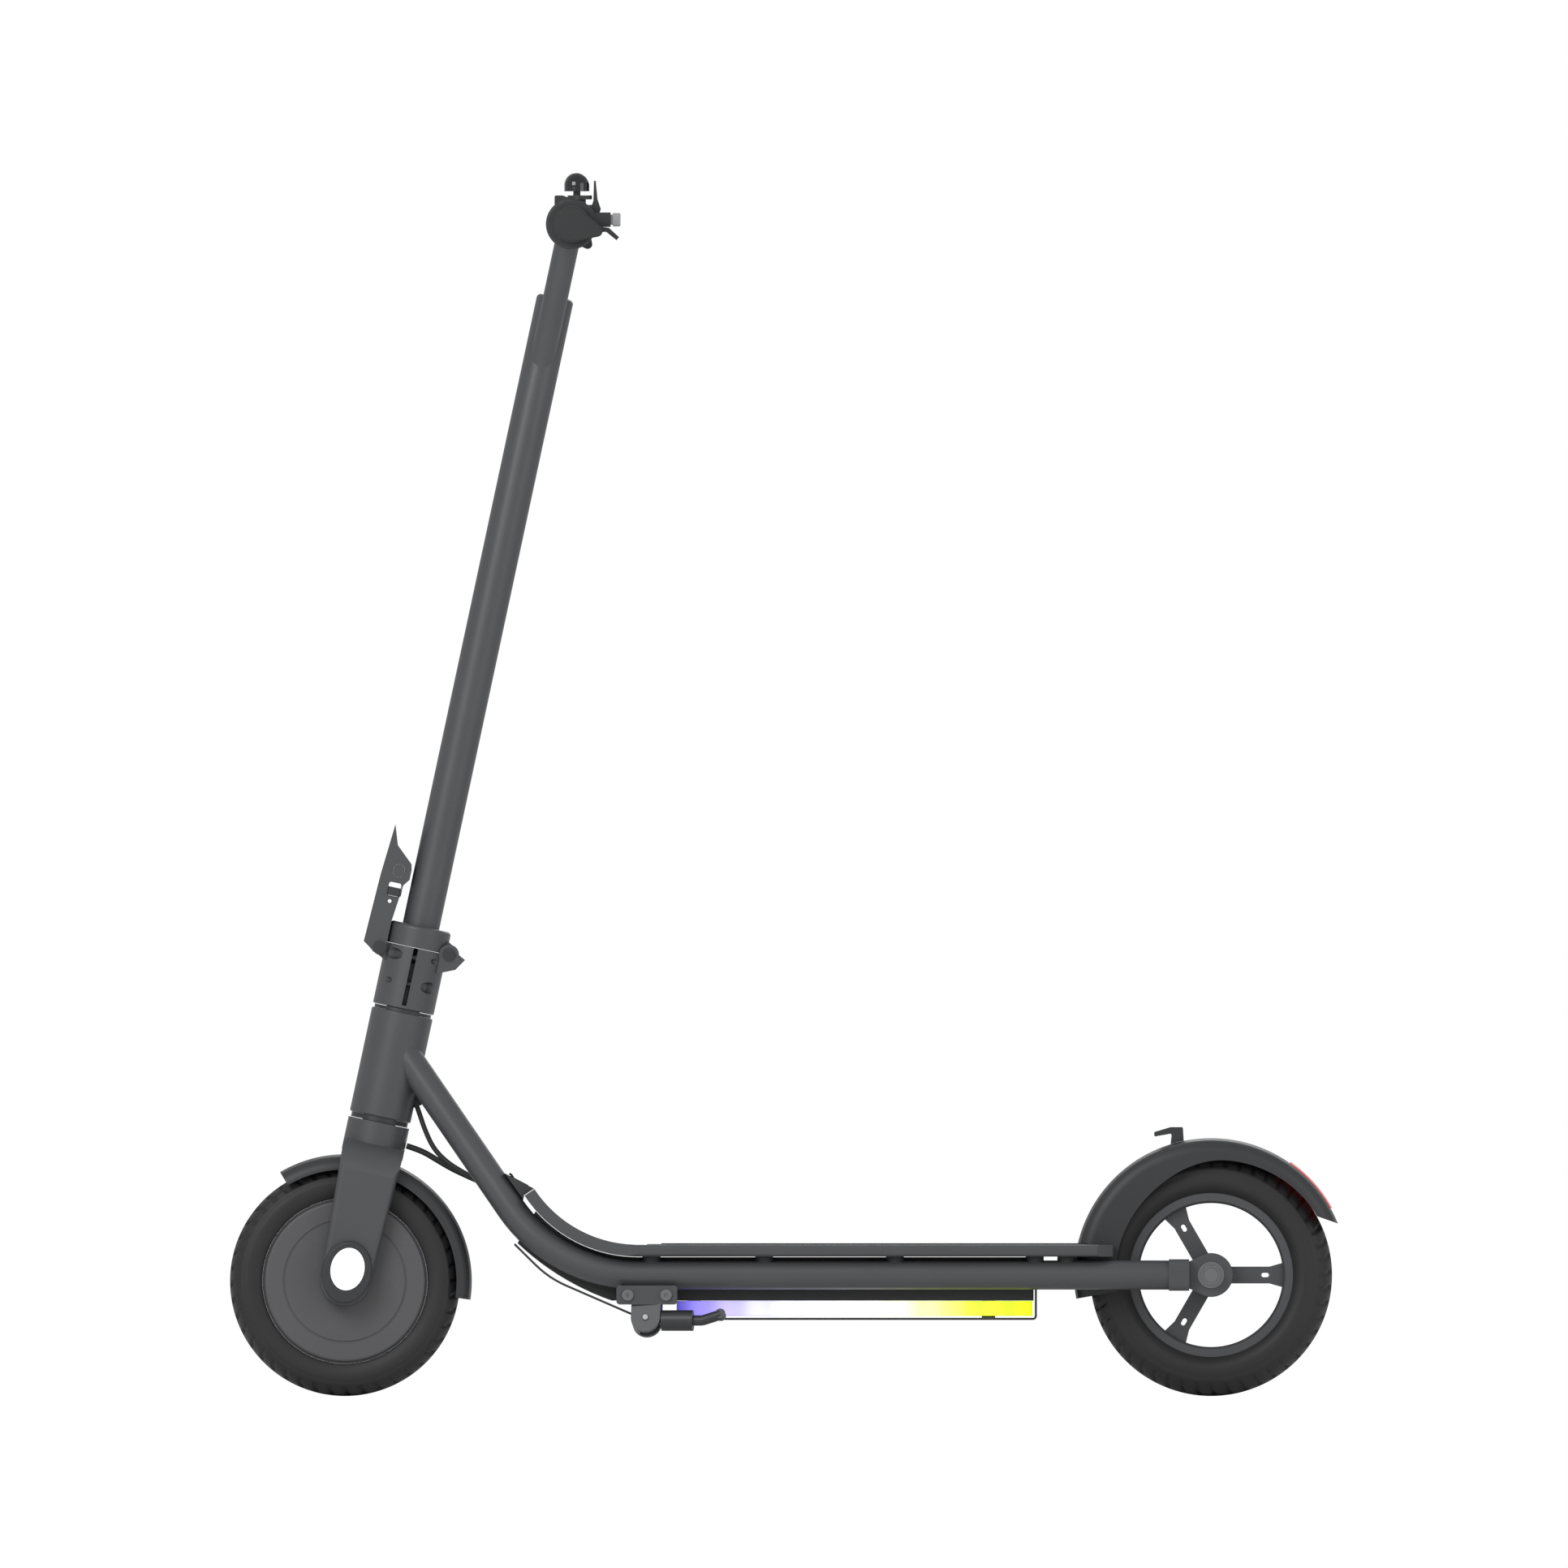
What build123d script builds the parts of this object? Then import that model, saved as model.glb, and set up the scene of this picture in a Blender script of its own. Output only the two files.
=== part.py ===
from build123d import *
import os
from math import acos, atan2, cos, degrees, radians, sin, sqrt

# Folding electric kick scooter, in millimetres.
# +Z is up, +X points to the rear wheel and -Y is the scooter's left side, where the kickstand is.
# The origin lies on the floor, in the middle of the scooter's length and width.

# ---------------------------------------------------------------- driving dimensions
# Overall layout
wheelbase = 768.3
front_tyre_radius = 102.0
rear_tyre_radius = 107.4
rake_degrees = 12.08
bar_height_on_axis = 959.0

# Clearances and fits
running_gap = 0.4
weld_gap = 0.05
shaft_fit = 0.04
seat_gap = 0.2

# Frame tubes
tube_radius = 13.0
tube_wall = 2.5
tube_half_spread = 58.0
tube_head_half_spread = 15.0
tube_head_height = 200.0
tube_head_setback = 18.7
tube_lead_in = 12.0
down_tube_degrees = 55.6
down_tube_bend = 137.0
tube_end_setback = 37.4

# Head tube and steering column
column_radius = 27.5
head_bottom = 149.0
head_top = 243.4
head_bore_radius = 18.0
steerer_radius = 15.0
steerer_wall = 3.0
bearing_radius = 22.0
bearing_width = 8.0
crown_top = 144.0
base_bottom = 247.0
base_top = 302.0
steerer_top = 288.0

# Deck
deck_thickness = 10.6
deck_lift = 3.3
deck_half_width = 75.0
deck_rear_setback = 87.0
deck_curl_degrees = 56.5
deck_front_half_width = 62.0
deck_pocket_depth = 7.4
mat_thickness = 2.0
mat_recess = 1.4
mat_margin = 9.0

# Battery case, light bars and skid plate
case_bottom = 84.7
case_rear_setback = 157.4
case_wall = 2.5
case_half_width = 44.0
light_bar_length = 315.4
light_bar_height = 13.4
light_bar_depth = 9.0
light_bar_wall = 1.4
skid_thickness = 2.0
skid_gap = 15.2
skid_half_width = 47.0

# Rear wheel and fender
rear_rim_radius = 74.5
rear_rim_inner_radius = 63.8
rear_hub_radius = 19.5
rear_rim_half_width = 20.0
rear_tyre_half_width = 26.0
spoke_count = 3
spoke_width = 15.0
axle_radius = 6.0
dropout_thickness = 8.0
dropout_radius = 19.0
fender_radius = 121.5
fender_half_width = 36.0
fender_wall = 2.6
fender_front_degrees = 190.0
fender_tip_degrees = 22.0

# Front wheel, fork and fender
motor_cover_radius = 71.3
motor_rim_radius = 73.2
motor_half_width = 22.0
motor_cover_bulge = 4.0
front_tyre_half_width = 24.0
fork_inner_half_width = 34.0
fork_leg_thickness = 14.0
fork_end_radius = 22.2
crown_bottom = 114.6
front_fender_radius = 112.6
front_fender_half_width = 29.0
front_fender_front_degrees = 120.8
front_fender_rear_degrees = -8.5

# Stem, fold hinge and handlebar
block_top = 322.0
stem_radius = 16.5
stem_wall = 2.5
stem_top = 893.0
hinge_height = 302.4
hinge_setback = 29.6
hinge_pin_radius = 4.0
hinge_ear_radius = 9.0
latch_height = 296.4
latch_setback = -31.8
latch_pin_radius = 3.0
bar_radius = 11.0
bar_wall = 2.2
bar_half_length = 222.0
grip_length = 116.0
grip_radius = 15.6

# ---------------------------------------------------------------- places worked out from them
tail_reach = fender_radius * cos(radians(fender_tip_degrees))
overall_length = front_tyre_radius + wheelbase + tail_reach
front_axle_x = front_tyre_radius - overall_length / 2
rear_axle_x = front_axle_x + wheelbase
front_axle = Vector(front_axle_x, 0, front_tyre_radius)
rear_axle = Vector(rear_axle_x, 0, rear_tyre_radius)
rake = radians(rake_degrees)

# The steering frame: z runs up the steering axis, x behind it and y across, from the front axle.
steering = Plane(origin=front_axle, x_dir=(cos(rake), 0, -sin(rake)), z_dir=(sin(rake), 0, cos(rake)))
# The side view of the same frame: x is the setback, y the height, and the normal is -Y.
steering_side = Plane(origin=front_axle, x_dir=(cos(rake), 0, -sin(rake)), z_dir=(0, -1, 0))
rear_side = Plane(origin=rear_axle, x_dir=(1, 0, 0), z_dir=(0, -1, 0))
front_side = Plane(origin=front_axle, x_dir=(1, 0, 0), z_dir=(0, -1, 0))


def on_column(height, setback, across=0.0):
    """World point at a height on the steering axis, a setback behind it and an offset across."""
    return steering.from_local_coords(Vector(setback, across, height))


def polar(radius, angle_degrees):
    """Point of a side view at a radius and an angle from its centre."""
    return (radius * cos(radians(angle_degrees)), radius * sin(radians(angle_degrees)))


def facing_rear(x, y, z):
    """Plane across the scooter at the given place, with its normal towards the rear wheel."""
    return Plane(origin=(x, y, z), x_dir=(0, 1, 0), z_dir=(1, 0, 0))


def column_side(across):
    """Side view of the steering frame, moved to the given place across the scooter."""
    return steering_side.offset(-across)


# ---------------------------------------------------------------- frame
tube_z = rear_tyre_radius
deck_bottom = tube_z + tube_radius + deck_lift
deck_top = deck_bottom + deck_thickness
tube_start = on_column(tube_head_height, tube_head_setback)
down_run = (tube_start.Z - tube_z) / sin(radians(down_tube_degrees))
corner_x = tube_start.X + down_run * cos(radians(down_tube_degrees))
bend_tangent = down_tube_bend * sin(radians(down_tube_degrees)) / (1 + cos(radians(down_tube_degrees)))
bend_x = corner_x + bend_tangent
bend_z = tube_z + down_tube_bend
tube_end_x = rear_axle_x - tube_end_setback


def tube_path(side):
    """Corner points of one frame tube, from inside the head tube to the rear dropout."""
    corner = Vector(corner_x, side * tube_half_spread, tube_z)
    start = Vector(tube_start.X, side * tube_head_half_spread, tube_start.Z)
    lead = start + (start - corner).normalized() * tube_lead_in
    return [lead, corner, Vector(tube_end_x, side * tube_half_spread, tube_z)]


def tube_envelope(side, radius):
    """Solid bar along one frame tube, for cutting the pieces that fit round it."""
    with BuildPart(mode=Mode.PRIVATE) as envelope:
        with BuildLine() as path:
            FilletPolyline(*tube_path(side), radius=down_tube_bend)
        with BuildSketch(Plane(origin=path.line @ 0, z_dir=path.line % 0)):
            Circle(radius)
        sweep()
    return envelope.part


def frame_tube(side):
    """One bent frame tube, coped where it is welded to the head tube."""
    with BuildPart() as tube:
        with BuildLine() as path:
            FilletPolyline(*tube_path(side), radius=down_tube_bend)
        with BuildSketch(Plane(origin=path.line @ 0, z_dir=path.line % 0)):
            Circle(tube_radius)
            Circle(tube_radius - tube_wall, mode=Mode.SUBTRACT)
        sweep()
        with BuildSketch(steering):
            Circle(column_radius + weld_gap)
        extrude(amount=base_bottom, mode=Mode.SUBTRACT)
    return tube


with BuildPart() as frame_tubes:
    for side in (-1, 1):
        add(frame_tube(side).part)

# The control cable leaves the head tube at this height, at its back.
cable_port_height = 169.0
control_cable_radius = 2.2
motor_cable_radius = 2.65
gland_radius = 4.6
gland_length = 5.0
cable_port_drop_degrees = 70.0
cable_port = on_column(cable_port_height, column_radius)
cable_port_direction = Vector(cos(radians(cable_port_drop_degrees)), 0, -sin(radians(cable_port_drop_degrees)))
cable_port_plane = Plane(origin=cable_port, z_dir=cable_port_direction)

with BuildPart() as head_tube:
    with BuildSketch(steering.offset(head_bottom)):
        Circle(column_radius)
        Circle(head_bore_radius, mode=Mode.SUBTRACT)
    extrude(amount=head_top - head_bottom)
    for seat_bottom in (head_bottom, head_top - bearing_width):
        with BuildSketch(steering.offset(seat_bottom)):
            Circle(bearing_radius + shaft_fit)
        extrude(amount=bearing_width, mode=Mode.SUBTRACT)
    with BuildSketch(cable_port_plane.offset(-gland_length)):
        Circle(control_cable_radius + running_gap)
    extrude(amount=gland_length * 2, both=True, mode=Mode.SUBTRACT)
    rims = head_tube.edges().filter_by(GeomType.CIRCLE).filter_by(lambda e: abs(e.radius - column_radius) < shaft_fit)
    fillet(rims, radius=1.2)

with BuildPart() as cable_gland:
    with BuildSketch(cable_port_plane.offset(-gland_length)):
        Circle(gland_radius)
    extrude(amount=gland_length * 2)
    with BuildSketch(cable_port_plane.offset(-gland_length)):
        Circle(control_cable_radius + shaft_fit)
    extrude(amount=gland_length * 2, mode=Mode.SUBTRACT)
    with BuildSketch(steering):
        Circle(column_radius + weld_gap)
    extrude(amount=base_bottom, mode=Mode.SUBTRACT)

# Bearings in both ends of the head tube, and the rubber rings that keep the wet out of them.
seal_radius = column_radius - 2.0
with BuildPart() as headset_bearings:
    for seat_bottom in (head_bottom, head_top - bearing_width):
        with BuildSketch(steering.offset(seat_bottom)):
            Circle(bearing_radius)
            Circle(steerer_radius + shaft_fit, mode=Mode.SUBTRACT)
        extrude(amount=bearing_width)
    for ring_bottom, ring_top in (
        (crown_top + running_gap, head_bottom - weld_gap),
        (head_top + weld_gap, base_bottom - running_gap),
    ):
        with BuildSketch(steering.offset(ring_bottom)):
            Circle(seal_radius)
            Circle(steerer_radius + seat_gap, mode=Mode.SUBTRACT)
        extrude(amount=ring_top - ring_bottom)

# Rear end: a weld block closes each tube and carries a dropout plate round the axle.
dropout_block_length = 18.0
dropout_block_height = 28.0
dropout_inner = tube_half_spread - dropout_thickness / 2
with BuildPart() as rear_dropouts:
    for side in (-1, 1):
        with BuildSketch(facing_rear(tube_end_x, side * tube_half_spread, tube_z)):
            RectangleRounded(dropout_block_height, dropout_block_height, 6)
        extrude(amount=dropout_block_length)
        with BuildSketch(rear_side.offset(-side * tube_half_spread)):
            with BuildLine():
                FilletPolyline(
                    (-tube_end_setback + 4, dropout_block_height / 2 - 2),
                    (-tube_end_setback + dropout_block_length, dropout_block_height / 2 - 2),
                    polar(dropout_radius, 112),
                    radius=8,
                )
                Line(polar(dropout_radius, 112), (0, 0))
                Line((0, 0), polar(dropout_radius, 248))
                FilletPolyline(
                    polar(dropout_radius, 248),
                    (-tube_end_setback + dropout_block_length, -dropout_block_height / 2 + 2),
                    (-tube_end_setback + 4, -dropout_block_height / 2 + 2),
                    radius=8,
                )
                Line(
                    (-tube_end_setback + 4, -dropout_block_height / 2 + 2),
                    (-tube_end_setback + 4, dropout_block_height / 2 - 2),
                )
            make_face()
            Circle(dropout_radius)
        extrude(amount=dropout_thickness / 2, both=True)
        with BuildSketch(rear_side.offset(-side * tube_half_spread)):
            Circle(axle_radius + shaft_fit)
        extrude(amount=dropout_thickness, both=True, mode=Mode.SUBTRACT)

# A crossmember between the tubes in front of the rear wheel, which the fender is screwed to.
crossmember_setback = fender_radius + 9.5
crossmember_thickness = 6.0
crossmember_height = 19.0
with BuildPart() as frame_crossmember:
    with BuildSketch(facing_rear(rear_axle_x - crossmember_setback, 0, tube_z)):
        RectangleRounded(2 * tube_half_spread - tube_radius, crossmember_height, 2)
    extrude(amount=crossmember_thickness)
    for side in (-1, 1):
        with BuildSketch(Plane.YZ):
            with Locations((side * tube_half_spread, tube_z)):
                Circle(tube_radius + weld_gap)
        extrude(amount=rear_axle_x, mode=Mode.SUBTRACT)

with BuildPart() as rear_frame_plates:
    add(rear_dropouts.part)
    add(frame_crossmember.part)

# ---------------------------------------------------------------- deck
deck_rear_x = rear_axle_x - deck_rear_setback
deck_curl_radius = bend_z - deck_top
deck_under_radius = deck_curl_radius + deck_thickness
fender_clearance = 1.5
notch_half_width = fender_half_width + fender_clearance
notch_x = rear_axle_x - fender_radius - fender_clearance
deck_corner = 14.0
deck_lip_x = bend_x - deck_under_radius * sin(radians(deck_curl_degrees))


def on_curl(radius, degrees_up):
    """Point of the deck's side view on its turned-up front, measured forward from the flat."""
    return (bend_x - radius * sin(radians(degrees_up)), bend_z - radius * cos(radians(degrees_up)))


def deck_profile(upper_radius, lower_radius, rear_x):
    """Side view of a layer of the deck between two radii of its turned-up front."""
    half_curl = deck_curl_degrees / 2
    with BuildSketch() as profile:
        with BuildLine():
            Line((rear_x, bend_z - upper_radius), on_curl(upper_radius, 0))
            ThreePointArc(
                on_curl(upper_radius, 0), on_curl(upper_radius, half_curl), on_curl(upper_radius, deck_curl_degrees)
            )
            Line(on_curl(upper_radius, deck_curl_degrees), on_curl(lower_radius, deck_curl_degrees))
            ThreePointArc(
                on_curl(lower_radius, deck_curl_degrees), on_curl(lower_radius, half_curl), on_curl(lower_radius, 0)
            )
            Line(on_curl(lower_radius, 0), (rear_x, bend_z - lower_radius))
            Line((rear_x, bend_z - lower_radius), (rear_x, bend_z - upper_radius))
        make_face()
    return profile.sketch


def deck_outline(margin):
    """Top view of the deck, drawn in by a margin, with its narrower front and the notch for the fender."""
    half = deck_half_width - margin
    front_half = deck_front_half_width - margin
    rear = deck_rear_x - margin
    notch = notch_half_width + margin
    inner = notch_x - margin
    with BuildSketch() as outline:
        with BuildLine():
            Polyline(
                (deck_lip_x - 1 + margin, -front_half),
                (bend_x + margin, -half),
                (rear - deck_corner, -half),
                (rear, -half + deck_corner),
                (rear, -notch),
                (inner, -notch),
                (inner, notch),
                (rear, notch),
                (rear, half - deck_corner),
                (rear - deck_corner, half),
                (bend_x + margin, half),
                (deck_lip_x - 1 + margin, front_half),
                close=True,
            )
        make_face()
    return outline.sketch


# Screws hold the deck to the frame tubes through low spacers.
deck_screw_xs = [bend_x + 12.0, bend_x + 112.0, bend_x + 228.0, bend_x + 352.0, bend_x + 380.0]
spacer_radius = 8.0
screw_radius = 2.5
screw_head_radius = 5.0
screw_head_height = 2.6
deck_bolt_xs = deck_screw_xs[:4]
pocket_half_width = case_half_width - 1.0

with BuildPart() as deck_plate:
    with BuildSketch(Plane.XZ):
        add(deck_profile(deck_curl_radius, deck_under_radius, deck_rear_x))
    extrude(amount=deck_half_width, both=True)
    with BuildSketch(Plane.XY):
        add(deck_outline(0))
    extrude(amount=bend_z, mode=Mode.INTERSECT)
    long_edges = deck_plate.edges().filter_by(Axis.X).filter_by(lambda e: abs(e.center().Y) > deck_half_width - 1)
    fillet(long_edges, radius=3.6)
    with BuildSketch(Plane.XY.offset(deck_bottom)):
        with Locations(((bend_x + notch_x) / 2 - 8, 0)):
            RectangleRounded(notch_x - bend_x - 30, 2 * pocket_half_width, 6)
    extrude(amount=deck_pocket_depth, mode=Mode.SUBTRACT)
    with BuildSketch(Plane.XY.offset(deck_top - mat_recess)):
        add(deck_outline(mat_margin))
    extrude(amount=mat_recess, mode=Mode.SUBTRACT)
    for bolt_x in deck_bolt_xs:
        for side in (-1, 1):
            with Locations((bolt_x, side * tube_half_spread, deck_top - mat_recess)):
                CounterBoreHole(
                    radius=screw_radius + running_gap,
                    counter_bore_radius=screw_head_radius + running_gap,
                    counter_bore_depth=screw_head_height + running_gap,
                    depth=deck_thickness,
                )

with BuildPart() as deck_mat:
    with BuildSketch(Plane.XY.offset(deck_top - mat_recess)):
        add(deck_outline(mat_margin + seat_gap))
    extrude(amount=mat_thickness)
    with BuildSketch(Plane.XZ):
        with Locations((bend_x + (deck_rear_x - bend_x) / 2 + 2, deck_top)):
            Rectangle(deck_rear_x - bend_x - 2 * mat_margin + 6, 2 * mat_thickness)
    extrude(amount=deck_half_width, both=True, mode=Mode.INTERSECT)
    fillet(deck_mat.edges().group_by(Axis.Z)[-1], radius=0.5)

with BuildPart() as deck_screws:
    for bolt_x in deck_bolt_xs:
        for side in (-1, 1):
            with BuildSketch(Plane.XY.offset(deck_top - mat_recess - screw_head_height - seat_gap)):
                with Locations((bolt_x, side * tube_half_spread)):
                    Circle(screw_head_radius)
            extrude(amount=screw_head_height)
            with BuildSketch(Plane.XY.offset(deck_bottom - deck_lift + weld_gap)):
                with Locations((bolt_x, side * tube_half_spread)):
                    Circle(screw_radius)
            extrude(amount=deck_thickness + deck_lift - mat_recess - screw_head_height - seat_gap - weld_gap)

with BuildPart() as deck_spacers:
    for spacer_x in deck_screw_xs:
        for side in (-1, 1):
            with BuildSketch(Plane.XY.offset(tube_z)):
                with Locations((spacer_x, side * tube_half_spread)):
                    Circle(spacer_radius)
                    Circle(screw_radius + seat_gap, mode=Mode.SUBTRACT)
            extrude(amount=deck_bottom - tube_z)
            with BuildSketch(Plane.YZ):
                with Locations((side * tube_half_spread, tube_z)):
                    Circle(tube_radius + weld_gap)
            extrude(amount=overall_length / 2, both=True, mode=Mode.SUBTRACT)

# ---------------------------------------------------------------- front cover of the deck
# A moulded wedge closes the gap between the deck's turned-up front and the tubes, and the cables go in under it.
down_tube_along = Vector(cos(radians(down_tube_degrees)), -sin(radians(down_tube_degrees)))
down_tube_up = Vector(sin(radians(down_tube_degrees)), cos(radians(down_tube_degrees)))
tube_start_side = Vector(tube_start.X, tube_start.Z)


def on_down_tube(along, above):
    """Point of the side view at a distance down the straight tube and above its centreline."""
    return tube_start_side + down_tube_along * along + down_tube_up * above


cover_gap = 0.5
cover_top_along = 125.0
cover_bottom_along = 154.0
cover_half_width = 52.0
cover_plug_half_width = 22.0
cover_plug_depth = 13.0
lip_upper = Vector(*on_curl(deck_curl_radius, deck_curl_degrees))
lip_lower = Vector(*on_curl(deck_under_radius, deck_curl_degrees))
lip_shift = Vector(-cos(radians(deck_curl_degrees)), sin(radians(deck_curl_degrees))) * cover_gap
cover_front = on_down_tube(cover_top_along, tube_radius)
cover_slope = (cover_front - (lip_upper + lip_shift)).normalized()
cover_normal = Vector(-cover_slope.Y, cover_slope.X) * -1

cap_radius = 9.0
cap_thickness = 2.2
socket_radius = 6.0
socket_depth = 9.0
cover_middle = (cover_front + lip_upper + lip_shift) * 0.5
charge_plane = Plane(
    origin=(cover_middle.X, 0, cover_middle.Y),
    x_dir=(cover_slope.X, 0, cover_slope.Y),
    z_dir=(cover_normal.X, 0, cover_normal.Y),
)
cable_entry_offset = 7.0
cable_entry_depth = 5.0
cable_entry_drop_degrees = 22.5
cable_entry = on_down_tube(cover_top_along + 8.0, tube_radius - cover_plug_depth)
cable_entry_direction = Vector(cos(radians(cable_entry_drop_degrees)), 0, -sin(radians(cable_entry_drop_degrees)))


def cable_entry_point(along, across):
    """Point on the straight line on which a cable enters the cover: along from its face, and across."""
    start = Vector(cable_entry.X, across, cable_entry.Y)
    return start + cable_entry_direction * along



with BuildPart() as deck_front_cover:
    with BuildSketch(Plane.XZ):
        with BuildLine():
            Polyline(
                lip_upper + lip_shift,
                cover_front,
                on_down_tube(cover_bottom_along, tube_radius + cover_gap),
                lip_lower + lip_shift,
                close=True,
            )
        make_face()
    extrude(amount=cover_half_width, both=True)
    with BuildSketch(Plane.XZ):
        with BuildLine():
            Polyline(
                on_down_tube(cover_top_along, tube_radius),
                on_down_tube(cover_top_along, tube_radius - cover_plug_depth),
                on_down_tube(cover_bottom_along, tube_radius - cover_plug_depth),
                on_down_tube(cover_bottom_along, tube_radius + cover_gap),
                close=True,
            )
        make_face()
    extrude(amount=cover_plug_half_width, both=True)
    for side in (-1, 1):
        add(tube_envelope(side, tube_radius + cover_gap), mode=Mode.SUBTRACT)
    for across, cable_radius in ((-cable_entry_offset, control_cable_radius), (cable_entry_offset, motor_cable_radius)):
        with BuildSketch(Plane(origin=cable_entry_point(-10, across), z_dir=cable_entry_direction)):
            Circle(cable_radius + running_gap)
        extrude(amount=10 + cable_entry_depth + 1, mode=Mode.SUBTRACT)
    with BuildSketch(charge_plane.offset(-cap_thickness)):
        Circle(cap_radius + running_gap)
    extrude(amount=cap_thickness * 3, mode=Mode.SUBTRACT)
    with BuildSketch(charge_plane.offset(-cap_thickness - socket_depth)):
        Circle(socket_radius + seat_gap)
    extrude(amount=socket_depth, mode=Mode.SUBTRACT)

# ---------------------------------------------------------------- battery case
case_rear_x = rear_axle_x - case_rear_setback
case_top = deck_bottom - running_gap
case_tube_gap = 0.8
case_front_degrees = 44.5
case_bend_degrees = 8.4
case_top_radius = bend_z - case_top
case_front_radius = down_tube_bend + tube_radius + 2.5
case_nose = on_curl(case_front_radius, case_front_degrees)
case_nose_top = on_curl(case_top_radius, case_front_degrees + 4)
case_bend = (bend_x - (bend_z - case_bottom) * sin(radians(case_bend_degrees)), case_bottom)
case_belly = on_curl((case_front_radius + bend_z - case_bottom) / 2 - 1.8, (case_front_degrees + case_bend_degrees) / 2)


def case_profile(rear_x):
    """Side view of the battery case's outer form."""
    with BuildSketch() as profile:
        with BuildLine():
            Line((rear_x, case_top), (bend_x, case_top))
            ThreePointArc(
                (bend_x, case_top), on_curl(case_top_radius, case_front_degrees / 2), case_nose_top
            )
            Line(case_nose_top, case_nose)
            ThreePointArc(case_nose, case_belly, case_bend)
            Line(case_bend, (rear_x, case_bottom))
            Line((rear_x, case_bottom), (rear_x, case_top))
        make_face()
    return profile.sketch


with BuildPart() as battery_case:
    with BuildSketch(Plane.XZ):
        add(case_profile(case_rear_x))
    extrude(amount=-case_half_width)
    add(tube_envelope(1, tube_radius + case_tube_gap), mode=Mode.SUBTRACT)
    with BuildPart(mode=Mode.PRIVATE) as cavity:
        with BuildSketch(Plane.XZ):
            add(offset(case_profile(case_rear_x), amount=-case_wall, mode=Mode.PRIVATE))
        extrude(amount=case_wall - case_half_width)
        add(tube_envelope(1, tube_radius + case_tube_gap + case_wall), mode=Mode.SUBTRACT)
    add(cavity.part, mode=Mode.SUBTRACT)
    mirror(about=Plane.XZ)
    opening_length = case_rear_x - bend_x - case_wall
    with BuildSketch(Plane.XY.offset(case_top - 2 * case_wall)):
        with Locations((bend_x + opening_length / 2, 0)):
            Rectangle(opening_length, 2 * (case_half_width - case_wall))
    extrude(amount=4 * case_wall, mode=Mode.SUBTRACT)

pack_front_x = bend_x + 14.0
pack_length = 262.0
pack_half_width = 37.0
pack_height = 27.0
controller_gap = 10.0
controller_length = case_rear_x - case_wall - pack_front_x - pack_length - 2 * controller_gap
fin_count = 7
case_floor = case_bottom + case_wall + seat_gap
with BuildPart() as battery_pack:
    with BuildSketch(Plane.XY.offset(case_floor)):
        with Locations((pack_front_x + pack_length / 2, 0)):
            RectangleRounded(pack_length, 2 * pack_half_width, 5)
    extrude(amount=pack_height)
    fillet(battery_pack.edges().group_by(Axis.Z)[-1], radius=4)

with BuildPart() as motor_controller:
    with BuildSketch(Plane.XY.offset(case_floor)):
        with Locations((pack_front_x + pack_length + controller_gap + controller_length / 2, 0)):
            RectangleRounded(controller_length, 2 * pack_half_width, 3)
    extrude(amount=pack_height - 6)
    with BuildSketch(Plane.XY.offset(case_floor + pack_height - 6)):
        with Locations((pack_front_x + pack_length + controller_gap + controller_length / 2, 0)):
            with GridLocations(0, 2 * pack_half_width / fin_count, 1, fin_count):
                Rectangle(controller_length - 6, 3)
    extrude(amount=6)

# ---------------------------------------------------------------- light bars and skid plate
light_bar_rear_x = case_rear_x - 1.3
light_bar_top = case_bottom - seat_gap
light_bar_side = skid_half_width - 1.0
strip_thickness = 1.2


def light_bar(side):
    """Hollow light bar along one lower edge of the battery case."""
    middle = (light_bar_rear_x - light_bar_length / 2, side * (light_bar_side - light_bar_depth / 2))
    with BuildPart() as bar:
        with BuildSketch(Plane.XY.offset(light_bar_top - light_bar_height)):
            with Locations(middle):
                RectangleRounded(light_bar_length, light_bar_depth, 2.5)
        extrude(amount=light_bar_height)
        fillet(bar.edges().filter_by(Axis.X), radius=1.0)
        with BuildSketch(Plane.XY.offset(light_bar_top - light_bar_height + light_bar_wall)):
            with Locations(middle):
                Rectangle(light_bar_length - 2 * light_bar_wall, light_bar_depth - 2 * light_bar_wall)
        extrude(amount=light_bar_height - 2 * light_bar_wall, mode=Mode.SUBTRACT)
    return bar


with BuildPart() as light_bars:
    for side in (-1, 1):
        add(light_bar(side).part)

with BuildPart() as led_strips:
    for side in (-1, 1):
        strip_y = side * (light_bar_side - light_bar_depth + light_bar_wall + seat_gap + strip_thickness / 2)
        with BuildSketch(Plane.XY.offset(light_bar_top - light_bar_height + light_bar_wall + seat_gap)):
            with Locations((light_bar_rear_x - light_bar_length / 2, strip_y)):
                Rectangle(light_bar_length - 2 * light_bar_wall - 2, strip_thickness)
        extrude(amount=light_bar_height - 2 * light_bar_wall - 2 * seat_gap)

skid_bottom = case_bottom - skid_gap - skid_thickness
skid_rear_x = case_rear_x + 3.0
skid_lip_top = case_bottom + 11.0
skid_nose = on_curl(case_front_radius + 3.4, case_front_degrees + 0.5)
skid_knee = on_curl(down_tube_bend + 24.5, 29.5)
skid_bends = (90.0, 60.0, 3.6)
with BuildPart() as skid_plate:
    with BuildSketch(Plane.XZ):
        with BuildLine():
            skid_line = FilletPolyline(
                skid_nose,
                skid_knee,
                (bend_x + 4.0, skid_bottom),
                (skid_rear_x, skid_bottom),
                (skid_rear_x, skid_lip_top),
                radius=skid_bends,
            )
            offset(skid_line, amount=skid_thickness, side=Side.LEFT)
        make_face()
    extrude(amount=skid_half_width, both=True)

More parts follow.
